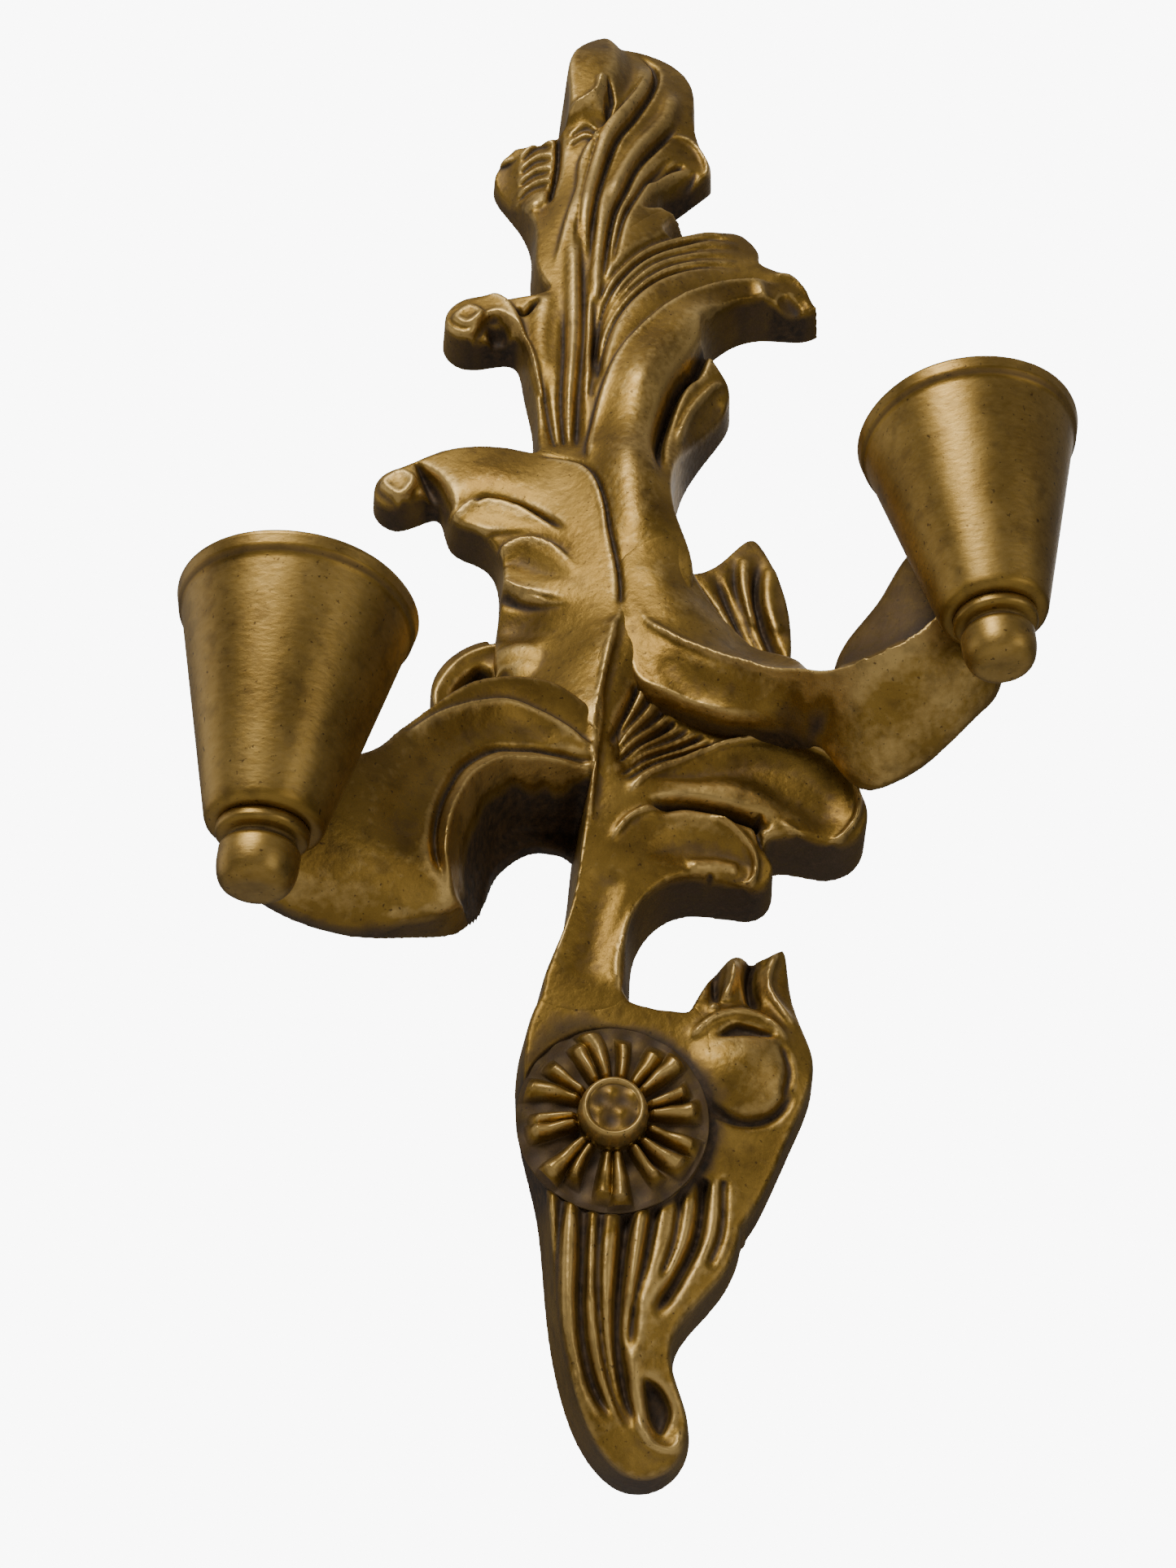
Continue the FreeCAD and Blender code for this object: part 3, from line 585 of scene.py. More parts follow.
def rear_top(node):
    """Low leaf behind an arm: a dark curl on the left, soft upright folds on the right."""
    top = np.full(X.shape, -box_mm(node)[0][1] - FOLD_ROOM)
    if node == "left_rear_leaf":
        ridge(top, [(-52, 12), (-53, 24), (-47, 36), (-38, 42), (-28, 43)], 4.5, 2.2, (0.05, 0.1))
        scoop(top, [(-49, 12), (-49, 26), (-41, 36), (-34, 30), (-38, 12)], 7, 4)
        ridge(top, [(-38, 12), (-38, 26), (-32, 35), (-22, 37)], 4, 2, (0.05, 0.1))
        scoop(top, [(-35, 12), (-33, 26), (-24, 30), (-22, 12)], 4, 4)
        return np.maximum(top, THINNEST_LEAF)
    folds = (
        [(25, 80), (30, 70), (37, 58), (46, 44)], [(35, 80), (39, 70), (43, 58), (49, 42)],
        [(43, 88), (43, 74), (46, 60), (52, 42)], [(52, 88), (50, 74), (51, 60), (56, 42)])
    for number, path in enumerate(folds):
        width = 3.2 + 0.8 * math.sin(3 * number)
        ridge(top, path, width, -3.6 - 1.4 * math.sin(2 * number + 1), (0.4, 0.02))
    ribbon(top, [(47, 88), (46, 72), (49, 56)], 4, 1.6)
    ribbon(top, [(56, 84), (54, 68), (57, 52)], 4, 1.2)
    return top


def blur(field, radius):
    """Field softened over about radius mm."""
    reach = max(int(round(radius / CELL)), 1)
    for axis in (0, 1):
        pad = [(0, 0), (0, 0)]
        pad[axis] = (reach + 1, reach)
        total = np.cumsum(np.pad(field, pad, mode="edge"), axis=axis)
        ahead = np.take(total, range(2 * reach + 1, total.shape[axis]), axis=axis)
        behind = np.take(total, range(0, total.shape[axis] - 2 * reach - 1), axis=axis)
        field = (ahead - behind) / (2 * reach + 1)
    return field


FINE_BLUR = 1.4
BROAD_BLUR = 4.5
LEVEL_GLAZE = 0.46
# The fine and broad terms add dark glaze together with painted shade in grooves and recesses.
FINE_GLAZE_AND_SHADE = 0.34
BROAD_GLAZE_AND_SHADE = 0.11


def hollow_measure(top):
    """Dark glaze and painted shade in a surface's hollows: more in grooves, less on ridges, at a fine and a
    broad scale.
    """
    fine = blur(blur(top, FINE_BLUR), FINE_BLUR) - top
    broad = blur(blur(top, BROAD_BLUR), BROAD_BLUR) - top
    return np.clip(LEVEL_GLAZE + FINE_GLAZE_AND_SHADE * fine + BROAD_GLAZE_AND_SHADE * broad, 0, 1)


# ---------------------------------------------------------------- meshes
def link_mesh(name, points_mm, faces, hollow, node, body, material, slot):
    """A finished piece from points in mm; hollow says how much dark glaze and painted shade each point holds.
    """
    mesh = bpy.data.meshes.new(name)
    mesh.from_pydata((np.asarray(points_mm) * MM).tolist(), [], np.asarray(faces).tolist())
    mesh.attributes.new("hollow", "FLOAT", "POINT").data.foreach_set(
        "value", np.asarray(hollow, np.float32))
    mesh.validate()
    mesh.polygons.foreach_set("use_smooth", [True] * len(mesh.polygons))
    mesh.materials.append(material)
    piece = bpy.data.objects.new(name, mesh)
    bpy.context.scene.collection.objects.link(piece)
    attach(piece, body)
    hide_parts(node)


def link_carved(node, points, faces, hollow):
    """A carved piece of the fixed sconce in place of its blank."""
    link_mesh("carved_" + node, points, faces, hollow, node, "sconce", CARVED, "carved_gilt")


def outward(points, faces):
    """Faces turned so that their normals point out of the solid."""
    a, b, c = points[faces[:, 0]], points[faces[:, 1]], points[faces[:, 2]]
    volume = np.einsum("ij,ij->i", a, np.cross(b, c)).sum()
    return faces if volume > 0 else faces[:, ::-1]


# Painted shade on flanks that face downwards.
UNDERSIDE_SHADE = 0.42
SOFTENING = 4
BACK_GLAZE = 0.60
BACK_FADE = 1.6
FLANK_START = 1.0
FLANK_FADE = 3.0
FLANK_BLUR = 5.0
SKIRT = 2
BAND_VOXELS = 3


def soften(points, faces, rounds):
    """Points moved towards the mean of their neighbours, which evens out the sampling steps."""
    ends = np.concatenate([faces, np.roll(faces, -1, axis=1)], axis=0).reshape(2, -1)
    first = np.concatenate([ends[0], ends[1]])
    second = np.concatenate([ends[1], ends[0]])
    count = np.bincount(first, minlength=len(points))[:, None]
    for _ in range(rounds):
        mean = np.stack(
            [np.bincount(first, points[second, axis], len(points)) for axis in range(3)], axis=1) / count
        points = (points + mean) / 2
    return points


def rounded_max(first, second, rounding):
    """Greater of two distances, with the corner between them rounded off."""
    if not rounding:
        return np.maximum(first, second)
    mix = np.clip(0.5 + 0.5 * (first - second) / rounding, 0, 1)
    return first * mix + second * (1 - mix) + rounding * mix * (1 - mix)


def point_glaze_and_shade(points, region, surface, back, hollow):
    """Glaze and painted shade of a solid's points: hollows in front, even on the flanks, painted shade below,
    darker glaze behind.
    """
    x, z = points[:, 0], points[:, 2]
    flank = np.clip((sample(surface, x, z) + points[:, 1] - FLANK_START) / FLANK_FADE, 0, 1)
    even = sample(blur(hollow, FLANK_BLUR), x, z)
    shade = sample(hollow, x, z) * (1 - flank) + even * flank
    # Painted shade on flanks that face downwards.
    rise = sample(region, x, z - 2 * VOXEL) - sample(region, x, z + 2 * VOXEL)
    facing_down = np.clip(rise / (4 * VOXEL), 0, 1)
    shade = shade + UNDERSIDE_SHADE * facing_down * flank
    lift = -points[:, 1] - sample(back, x, z)
    behind = np.clip(BACK_FADE - lift, 0, 1)
    return shade * (1 - behind) + BACK_GLAZE * behind


def steepness(field):
    """Length of surface per mm of wall, from a height field on the voxel grid."""
    return np.sqrt(1 + np.square(np.gradient(field, VOXEL)).sum(axis=0))


def solid_mesh(region, front, back, hollow, cutters=(), uncut=None, rounding=0.0):
    """Closed mesh of the matter inside a region, between two heights, less every cutter.

    Each cutter takes the arrays x, out, z and gives a distance that is negative where it cuts.
    The uncut front, if it differs, tells how far down a flank each point lies.
    """
    columns, rows = np.nonzero(region < 0)
    xs = np.arange(X[columns.min(), 0] - SKIRT, X[columns.max(), 0] + SKIRT, VOXEL)
    zs = np.arange(Z[0, rows.min()] - SKIRT, Z[0, rows.max()] + SKIRT, VOXEL)
    grid_x, grid_z = np.meshgrid(xs, zs, indexing="ij")
    near, far = sample(back, grid_x, grid_z), sample(front, grid_x, grid_z)
    outline = sample(region, grid_x, grid_z)
    ys = np.arange(near[outline < 0].min() - SKIRT, far[outline < 0].max() + SKIRT + 1, VOXEL)
    x, out, z = grid_x[:, None, :], ys[None, :, None], grid_z[:, None, :]
    solid = (out - far[:, None, :]) / steepness(far)[:, None, :]
    solid = rounded_max(solid, outline[:, None, :], rounding)
    solid = rounded_max(solid, (near[:, None, :] - out) / steepness(near)[:, None, :], rounding)
    for cutter in cutters:
        solid = np.maximum(solid, -cutter(x, out, z))
    reach = BAND_VOXELS * VOXEL
    volume = openvdb.FloatGrid(reach)
    volume.copyFromArray(np.clip(solid, -reach, reach).astype(np.float32))
    points, quads = volume.convertToQuads(isovalue=0.0)
    points = np.asarray(points, float) * VOXEL + np.array([xs[0], ys[0], zs[0]])
    points[:, 1] = -np.maximum(points[:, 1], 0)
    quads = np.asarray(quads)
    points = soften(points, quads, SOFTENING)
    shade = point_glaze_and_shade(points, region, front if uncut is None else uncut, back, hollow)
    return points, outward(points, quads), shade


def box_cutter(low, high):
    """Cutter for a box given by its corners (x, out, z)."""
    middle, half = (np.array(low) + high) / 2, (np.array(high) - low) / 2

    def distance(x, out, z):
        gaps = [abs(value - m) - h for value, m, h in zip((x, out, z), middle, half)]
        return np.maximum(np.maximum(gaps[0], gaps[1]), gaps[2])
    return distance


def tube_faces(rings, segments):
    """Four-sided faces between rings of points, each ring closed on itself."""
    rows, columns = np.meshgrid(np.arange(rings - 1), np.arange(segments), indexing="ij")
    after = (columns + 1) % segments
    return np.stack([
        rows * segments + columns, rows * segments + after,
        (rows + 1) * segments + after, (rows + 1) * segments + columns], axis=2).reshape(-1, 4)


# A turned body is slightly uneven, so its mean share of the drawn radius keeps it inside its solid.
# TIP is the radius at which a profile ends on the axis, in mm.
TURNED_SCALE = 0.993
TIP = 0.05


def turned_rings(centre, profile, segments=128):
    """Points and faces of a body turned about an upright axis; profile is (radius, height)."""
    profile = np.array(profile, float)
    angle = np.linspace(0, 2 * math.pi, segments, endpoint=False)
    wobble = TURNED_SCALE + 0.004 * np.sin(2 * angle + 0.7) + 0.003 * np.sin(5 * angle)
    radius = profile[:, :1] * wobble[None, :]
    points = np.stack([
        centre[0] + radius * np.cos(angle), centre[1] + radius * np.sin(angle),
        centre[2] + np.repeat(profile[:, 1:], segments, axis=1)], axis=2).reshape(-1, 3)
    return points, outward(points, tube_faces(len(profile), segments))


def dense(profile, step=0.9):
    """Profile with extra points, so that long stretches are split into pieces of about a step."""
    result = [profile[0]]
    for start, end in zip(profile, profile[1:]):
        count = max(int(math.dist(start, end) / step), 1)
        for number in range(1, count + 1):
            share = number / count
            result.append(tuple(a + (b - a) * share for a, b in zip(start, end)))
    return result


# ---------------------------------------------------------------- materials
def new_material(name):
    """Empty node material with its shader and the links and nodes to fill it."""
    material = bpy.data.materials.new(name)
    material.use_nodes = True
    nodes, links = material.node_tree.nodes, material.node_tree.links
    return material, nodes, links, nodes["Principled BSDF"]


# Flat faces would cut the noise along its own grid and show a weave, so it is turned.
NOISE_TURN = (0.6, 0.9, 0.4)


def noise(nodes, links, scale, detail=4.0, stretch=(1, 1, 1)):
    """Noise in the object's own metres."""
    place = nodes.new("ShaderNodeTexCoord")
    mapping = nodes.new("ShaderNodeMapping")
    mapping.inputs["Scale"].default_value = stretch
    mapping.inputs["Rotation"].default_value = NOISE_TURN
    texture = nodes.new("ShaderNodeTexNoise")
    texture.inputs["Scale"].default_value = scale
    texture.inputs["Detail"].default_value = detail
    links.new(place.outputs["Object"], mapping.inputs["Vector"])
    links.new(mapping.outputs["Vector"], texture.inputs["Vector"])
    return texture.outputs["Fac"]


def ramp(nodes, links, source, stops):
    """Colour ramp over (position, colour) stops."""
    node = nodes.new("ShaderNodeValToRGB")
    elements = node.color_ramp.elements
    while len(elements) < len(stops):
        elements.new(0.5)
    for element, (position, colour) in zip(elements, stops):
        element.position = position
        element.color = (*colour, 1)
    links.new(source, node.inputs["Fac"])
    return node.outputs["Color"]


def combine(nodes, links, kind, first, second):
    """Math node over two sockets or numbers."""
    node = nodes.new("ShaderNodeMath")
    node.operation = kind
    for socket, value in zip(node.inputs, (first, second)):
        if isinstance(value, (int, float)):
            socket.default_value = value
        else:
            links.new(value, socket)
    return node.outputs[0]


def scaled(nodes, links, source, factor, offset):
    """Socket times a factor, plus an offset."""
    return combine(nodes, links, "ADD", combine(nodes, links, "MULTIPLY", source, factor), offset)


def add_bump(nodes, links, shader, height, strength, distance):
    """Fine relief on a shader's surface from a height socket."""
    bump = nodes.new("ShaderNodeBump")
    bump.inputs["Strength"].default_value = strength
    bump.inputs["Distance"].default_value = distance
    links.new(height, bump.inputs["Height"])
    links.new(bump.outputs["Normal"], shader.inputs["Normal"])


def mix_colour(nodes, links, factor, first, second):
    """Blend of two colour sockets."""
    node = nodes.new("ShaderNodeMix")
    node.data_type = "RGBA"
    links.new(factor, node.inputs["Factor"])
    links.new(first, node.inputs[6])
    links.new(second, node.inputs[7])
    return node.outputs[2]


def grey(value):
    """Plain colour of one brightness."""
    return (value, value, value)


def gilt_material(name, stretch=(1, 1, 1), glaze_and_shade=1.0, roughening=1.0):
    """Antique gold paint with dark glaze and painted shade in its hollows, painted highlights on ridges,
    mottling and specks.
    """
    material, nodes, links, shader = new_material(name)
    hollow = nodes.new("ShaderNodeAttribute")
    hollow.attribute_name = "hollow"
    patches = noise(nodes, links, 45.0, 3.0)
    grain = noise(nodes, links, 420.0, 6.0, stretch)
    specks = noise(nodes, links, 750.0, 2.0)
    swing = combine(nodes, links, "SUBTRACT", grain, 0.5)
    uneven = combine(nodes, links, "MULTIPLY", swing, 0.35 * roughening)
    depth = combine(nodes, links, "ADD", hollow.outputs["Fac"], uneven)
    # Dark glaze and painted shade where the hollow measure is high.
    dark = ramp(nodes, links, depth, [
        (0.50, grey(0.04)), (0.66, grey(0.45 * glaze_and_shade)), (0.92, grey(0.97 * glaze_and_shade))])
    gold = ramp(nodes, links, patches, [
        (0.30, (0.19, 0.106, 0.019)), (0.52, (0.28, 0.164, 0.032)), (0.72, (0.37, 0.224, 0.050))])
    # Colour of the painted highlights on ridges and rims.
    highlight_gold = ramp(nodes, links, patches, [(0.3, (0.50, 0.32, 0.095)), (0.7, (0.64, 0.437, 0.158))])
    brown = ramp(nodes, links, grain, [(0.35, (0.020, 0.011, 0.005)), (0.7, (0.075, 0.040, 0.014))])
    # Painted highlight where the hollow measure is low, on ridges and rims.
    ridge_highlight = ramp(nodes, links, depth, [(0.20, grey(0.85)), (0.40, grey(0.0))])
    fleck = ramp(nodes, links, specks, [(0.66, grey(0.0)), (0.74, grey(0.7))])
    mottle = ramp(nodes, links, noise(nodes, links, 170.0, 9.0), [(0.52, grey(0.0)), (0.70, grey(0.34))])
    colour = mix_colour(nodes, links, ridge_highlight, gold, highlight_gold)
    colour = mix_colour(nodes, links, mottle, colour, brown)
    colour = mix_colour(nodes, links, dark, colour, brown)
    colour = mix_colour(nodes, links, fleck, colour, brown)
    links.new(colour, shader.inputs["Base Color"])
    links.new(ramp(nodes, links, dark, [(0.0, grey(0.92)), (1.0, grey(0.25))]), shader.inputs["Metallic"])
    rough = scaled(nodes, links, patches, 0.22, 0.26 + 0.07 * roughening)
    rough = combine(nodes, links, "ADD", rough, combine(nodes, links, "MULTIPLY", dark, 0.25))
    links.new(rough, shader.inputs["Roughness"])
    height = combine(nodes, links, "ADD", grain, patches)
    add_bump(nodes, links, shader, height, 0.35, 0.0006 * roughening)
    return material


def metal_material(name, low, high, rough):
    """Bare metal with fine brushing and smudges."""
    material, nodes, links, shader = new_material(name)
    brushing = noise(nodes, links, 500.0, 5.0, (1, 1, 6))
    smudge = noise(nodes, links, 90.0, 3.0)
    links.new(ramp(nodes, links, smudge, [(0.35, low), (0.65, high)]), shader.inputs["Base Color"])
    shader.inputs["Metallic"].default_value = 1.0
    links.new(scaled(nodes, links, brushing, 0.25, rough), shader.inputs["Roughness"])
    add_bump(nodes, links, shader, brushing, 0.2, 0.0002)
    return material


def wood_material(name):
    """Pale beech with stretched grain."""
    material, nodes, links, shader = new_material(name)
    grain = noise(nodes, links, 160.0, 5.0, (1, 1, 0.15))
    links.new(ramp(nodes, links, grain, [(0.3, (0.36, 0.22, 0.11)), (0.7, (0.55, 0.38, 0.21))]),
              shader.inputs["Base Color"])
    links.new(scaled(nodes, links, grain, 0.3, 0.45), shader.inputs["Roughness"])
    add_bump(nodes, links, shader, grain, 0.3, 0.0003)
    return material


CARVED = gilt_material("carved_gilt_paint")
TURNED = gilt_material("turned_gilt_paint", (1, 1, 2), 0.9, 0.35)
BRASS = metal_material("spun_brass", (0.62, 0.42, 0.16), (0.80, 0.58, 0.26), 0.22)
STEEL = metal_material("bright_steel", (0.42, 0.42, 0.43), (0.62, 0.62, 0.64), 0.28)
BEECH = wood_material("beech")


# ---------------------------------------------------------------- mouldings
# Painted highlight along the free front edges, over RIM_WIDTH.
RIM_HIGHLIGHT = 0.14
RIM_WIDTH = 1.1
# Painted shade down the flanks, beyond the front's edge.
FLANK_SHADE = 0.14
FLANK_SHADE_FROM = -1.2
# Painted shade over the low leaves behind the arms.
REAR_SHADE = 0.14
RECESS_SIDE = 4.5
RECESS_ABOVE = 5.0
RECESS_BELOW = 3.0


def hanger_pocket():
    """Pocket in the crest's back round the strap and the ring."""
    ring_low, ring_high = box_mm("hanger_ring")
    strap_low = box_mm("hanger_strap")[0]
    return box_cutter(
        (ring_low[0] - RECESS_SIDE, -2, strap_low[2] - RECESS_BELOW),
        (ring_high[0] + RECESS_SIDE, -strap_low[1], ring_high[2] + RECESS_ABOVE))


# Lower edge of the crest's right lobe as (x, z), that edge's distance from the wall, and the slope
# at which the underside rises behind it.
LOBE_EDGE = ((24, 251), (28, 256), (34, 264), (42, 274))
LOBE_DEPTH = 17.0
LOBE_LEAN = 1.5


def lobe_cutter(x, out, z):
    """Cutter that leans the underside of the crest's right lobe back towards the wall."""
    edge = np.interp(x, *zip(*LOBE_EDGE))
    below = (z - edge - LOBE_LEAN * (LOBE_DEPTH - out)) / math.hypot(1, LOBE_LEAN)
    return np.maximum(below, LOBE_EDGE[0][0] - x)


RELIEF_TOP = carved_top()


def rosette_shadow():
    """Painted shadow on the ground round the rosette's edge, uneven round the circle."""
    centre, radius = rosette_circle()
    away = np.hypot(X - centre[0], Z - centre[2])
    angle = np.arctan2(Z - centre[2], X - centre[0])
    reach = 3.4 + 1.6 * np.sin(3 * angle + 1) + 1.0 * np.sin(7 * angle)
    return 0.52 * np.exp(-(np.maximum(away - radius, 0) / reach) ** 2)


def build_mouldings():
    """Every moulding, cut from the one relief along its own outline."""
    inside = free_edge_depth()
    top = RELIEF_TOP
    behind_edge = inside - top / FLANK_SLOPE
    # Dark glaze with painted shade in hollows, a painted shadow round the rosette and a painted highlight
    # along the free front edges.
    hollow = hollow_measure(top) + rosette_shadow() - RIM_HIGHLIGHT * np.exp(-(behind_edge / RIM_WIDTH) ** 2)
    # Painted shade down the flanks.
    hollow = hollow + FLANK_SHADE * (behind_edge < FLANK_SHADE_FROM)
    crown = CROWN_DROP * (1 - np.clip(inside / CROWN_WIDTH, 0, 1)) ** 2
    height = smooth_min(top - crown, FLANK_SLOPE * inside)
    flat = np.zeros(X.shape)
    for node in RELIEF_NODES:
        cutters = [hanger_pocket(), lobe_cutter] if node == "crest_plume" else []
        region = REGIONS[node] - SEAM_OVERLAP
        if node in GROUND_REGIONS:
            region = np.minimum(region, GROUND_REGIONS[node])
        link_carved(node, *solid_mesh(np.maximum(region, -inside), height, flat, hollow, cutters, top))
    for node in REAR_NODES:
        top = rear_top(node)
        region = np.minimum(REGIONS[node], GROUND_REGIONS.get(node, EDGE_REACH))
        height = smooth_min(top, -FLANK_SLOPE * region)
        # Painted shade over the whole low leaf behind the arm.
        link_carved(node, *solid_mesh(region, height, flat, hollow_measure(top) + REAR_SHADE, uncut=top))


# ---------------------------------------------------------------- rosette
RING_RADIUS = 7.2
RING_WIRE = 2.0
PETALS = 18
PETAL_START = 9.0
PETAL_LIFT = 4.2
ROOT_HALF_WIDTH = 1.4
TIP_WIDENING = 2.0
RINGS, SPOKES = 110, 720


def lumps(x, z, size):
    """Uneven surface between -1 and 1: three waves that cross at odd angles."""
    waves = [
        np.sin((x * math.cos(heading) + z * math.sin(heading)) / size + 2 * heading)
        for heading in (0.4, 1.5, 2.7)]
    return sum(waves) / len(waves)


def petal_height(number, away, angle, radius):
    """Height of one petal at places given by their distance and angle from the flower's centre."""
    share = np.clip((away - PETAL_START) / (radius - PETAL_START), 0, 1)
    bend = (0.10 * math.sin(1.7 * number) + 0.06) * share ** 2
    heading = 2 * math.pi * number / PETALS + 0.07 * math.sin(2.9 * number + 1) + bend
    turn = (angle - heading + math.pi) % (2 * math.pi) - math.pi
    half_width = ROOT_HALF_WIDTH + (TIP_WIDENING + 0.6 * math.sin(2.3 * number + 2)) * share
    across = np.clip(1 - (turn * away / half_width) ** 2, 0, 1) ** 0.9
    length = radius * (0.93 + 0.07 * math.sin(4.1 * number))
    along = np.clip((length - away) / 3, 0, 1) * np.clip((away - PETAL_START + 1) / 2.5, 0, 1)
    return (PETAL_LIFT + 0.9 * math.sin(1.3 * number + 0.5)) * across * along


def rosette_height(x, z, radius, boss, middle):
    """Height of the flower above its seat at a place measured from its centre."""
    away = np.hypot(x, z)
    angle = np.arctan2(z, x)
    petals = np.max([petal_height(number, away, angle, radius) for number in range(PETALS)], axis=0)
    ground = 1.0 + 0.5 * lumps(x, z, 1.1)
    rim_height = ground_lift() - 0.6 + 0.5 * np.sin(5 * angle)
    rim_ground = rim_height * smooth_step(1 - (radius - away) / 5.0)
    ring = boss * np.clip(1 - ((away - RING_RADIUS) / RING_WIRE) ** 2, 0, 1) ** 0.5
    centre = (middle + 0.5 * lumps(x, z, 0.8)) * (away < RING_RADIUS)
    return np.maximum(np.maximum(ground + petals, rim_ground + 0.6 * petals), np.maximum(ring, centre))


def build_rosette():
    """Round flower on its seat: petals like narrow ridges round a ring with a rough middle."""
    centre, radius = rosette_circle()
    low, high = box_mm("rosette")
    seat, thickness = -high[1], high[1] - low[1]
    boss = thickness - 0.4
    away, angle = np.meshgrid(
        np.linspace(0.02, radius - 0.05, RINGS),
        np.linspace(0, 2 * math.pi, SPOKES, endpoint=False), indexing="ij")
    x, z = away * np.cos(angle), away * np.sin(angle)
    pin_front = -box_mm("rosette_pin")[0][1]
    lift = rosette_height(x, z, radius, boss, max(boss - 1.6, pin_front - seat + 0.6))
    lift = np.minimum(lift, thickness)
    front = np.stack([centre[0] + x, -(seat + lift), centre[2] + z], axis=2)
    back = front.copy()
    back[:, :, 1] = -seat
    points = np.concatenate([front, back[::-1]]).reshape(-1, 3)
    away = np.hypot(x, z)
    # Dark glaze and painted shade between the petals where the flower is low, an uneven darker middle inside
    # the ring, and painted shade round the flower's edge.
    shade = np.clip(1.0 - 0.165 * lift, 0.15, 1)
    shade = np.where(away < RING_RADIUS - 1, 0.66 - 0.25 * lumps(x, z, 0.8), shade)
    shade = np.maximum(shade, 0.85 * (away > radius - 1.5))
    shade = np.concatenate([shade, shade[::-1]]).reshape(-1)
    link_carved("rosette", points, outward(points, tube_faces(2 * RINGS, SPOKES)), shade)


# ---------------------------------------------------------------- cups, finials and liners
def cup_frame(side):
    """Axis point at the cup's base, its lip radius and its height, in mm."""
    low, high = box_mm(side + "_cup")
    centre = (low + high) / 2
    return np.array([centre[0], centre[1], low[2]]), (high[0] - low[0]) / 2, high[2] - low[2]


def link_turned(prefix, node, rings, shade, body="sconce", material=TURNED, slot="turned_gilt"):
    """A turned piece in place of its plain solid."""
    link_mesh(prefix + node, *rings, shade, node, body, material, slot)


BASE_SHARE = 0.461
WALL = 3.6
BAND = 5.0
BAND_PROUD = 0.6
SOCKET_DEPTH = 22
CUP_POCKET = 11.9
TURNED_GLAZE = 0.35


def build_cup(side):
    """Tapering turned cup: rounded foot, plain wall, lip band with a groove, hollow inside."""
    base, lip, height = cup_frame(side)
    foot = lip * BASE_SHARE
    shoulder = lip - BAND_PROUD
    floor = box_mm(side + "_candle_liner")[0][2] - base[2] - SEAT_GAP
    socket = floor + SOCKET_DEPTH
    profile = dense([
        (TIP, 0), (foot - 1.8, 0), (foot - 0.6, 0.5), (foot, 1.8),
        (foot + (shoulder - foot) * 0.91, height - BAND - 1.2), (shoulder - 0.9, height - BAND - 0.2),
        (shoulder - 0.3, height - BAND + 0.5), (lip - 0.2, height - 1.4), (lip, height - 0.7),
        (lip - 0.5, height), (lip - WALL, height - 0.4), (CUP_POCKET + 0.9, socket),
        (CUP_POCKET, socket), (CUP_POCKET, floor), (TIP, floor)])
    points, faces = turned_rings(base, profile)
    # Dark glaze and painted shade in the groove under the lip band, and painted shade towards the foot.
    level = (points[:, 2] - base[2]) / height
    groove = np.exp(-((level - (1 - BAND / height)) / 0.012) ** 2)
    shade = TURNED_GLAZE + 0.42 * groove + 0.10 * np.clip(0.06 - level, 0, 1) / 0.06
    link_turned("turned_", side + "_cup", (points, faces), shade)


BUTTON_SHARE = 0.87
NECK_SHARE = 0.73
DOME_START = 6.0
DOME_SIDE = 2.6
DOME_POWER = 0.36


def build_finial(side):
    """Thin collar, recessed neck and a domed button below the cup."""
    base = cup_frame(side)[0]
    node = side + "_cup_finial"
    low, high = box_mm(node)
    drop = base[2] - low[2]
    collar = (high[0] - low[0]) / 2
    button = collar * BUTTON_SHARE
    neck = collar * NECK_SHARE
    profile = [
        (TIP, 0), (collar - 0.4, 0), (collar, -0.7), (collar, -2.5), (collar - 0.6, -3.2), (neck, -4.0),
        (neck, -5.2), (button - 0.5, -DOME_START + 0.3), (button, -DOME_START - 0.6)]
    for step in range(1, 10):
        angle = math.pi * step / 18
        fall = DOME_START + DOME_SIDE + (drop - DOME_START - DOME_SIDE) * math.sin(angle)
        profile.append((max(button * math.cos(angle) ** DOME_POWER, TIP), -fall))
    points, faces = turned_rings(base, dense(profile, 0.6), 96)
    # Dark glaze and painted shade in the recessed neck.
    fall = base[2] - points[:, 2]
    shade = TURNED_GLAZE + 0.5 * np.exp(-((fall - 4.8) / 1.1) ** 2)
    link_turned("turned_", node, (points, faces), shade)


LINER_SOCKET = 11.8
LINER_WALL = 0.6
LINER_SCALE = 0.996


def build_liner(side):
    """Spun brass liner: candle socket below, flared pan with a rolled rim above."""
    base = cup_frame(side)[0]
    node = side + "_candle_liner"
    low, high = box_mm(node)
    floor, rim = low[2] - base[2], high[2] - base[2]
    outside = (high[0] - low[0]) / 2
    top = floor + SOCKET_DEPTH
    inner = LINER_SOCKET - LINER_WALL
    profile = dense([
        (TIP, floor), (inner, floor), (LINER_SOCKET, floor + LINER_WALL), (LINER_SOCKET, top),
        (LINER_SOCKET + 0.4, top + LINER_WALL), (outside - 0.2, rim - 1.2), (outside, rim - 0.6),
        (outside - 0.3, rim - 0.1), (outside - 1.0, rim), (outside - 1.6, rim - 0.5),
        (outside - 1.4, rim - 1.2), (LINER_SOCKET - 0.4, top + LINER_WALL), (inner, top),
        (inner, floor + LINER_WALL), (TIP, floor + LINER_WALL)])
    points, faces = turned_rings(base, profile)
    points[:, :2] = base[:2] + (points[:, :2] - base[:2]) * LINER_SCALE
    link_turned("spun_", node, (points, faces), np.zeros(len(points)), side + "_liner", BRASS, "brass_liner")


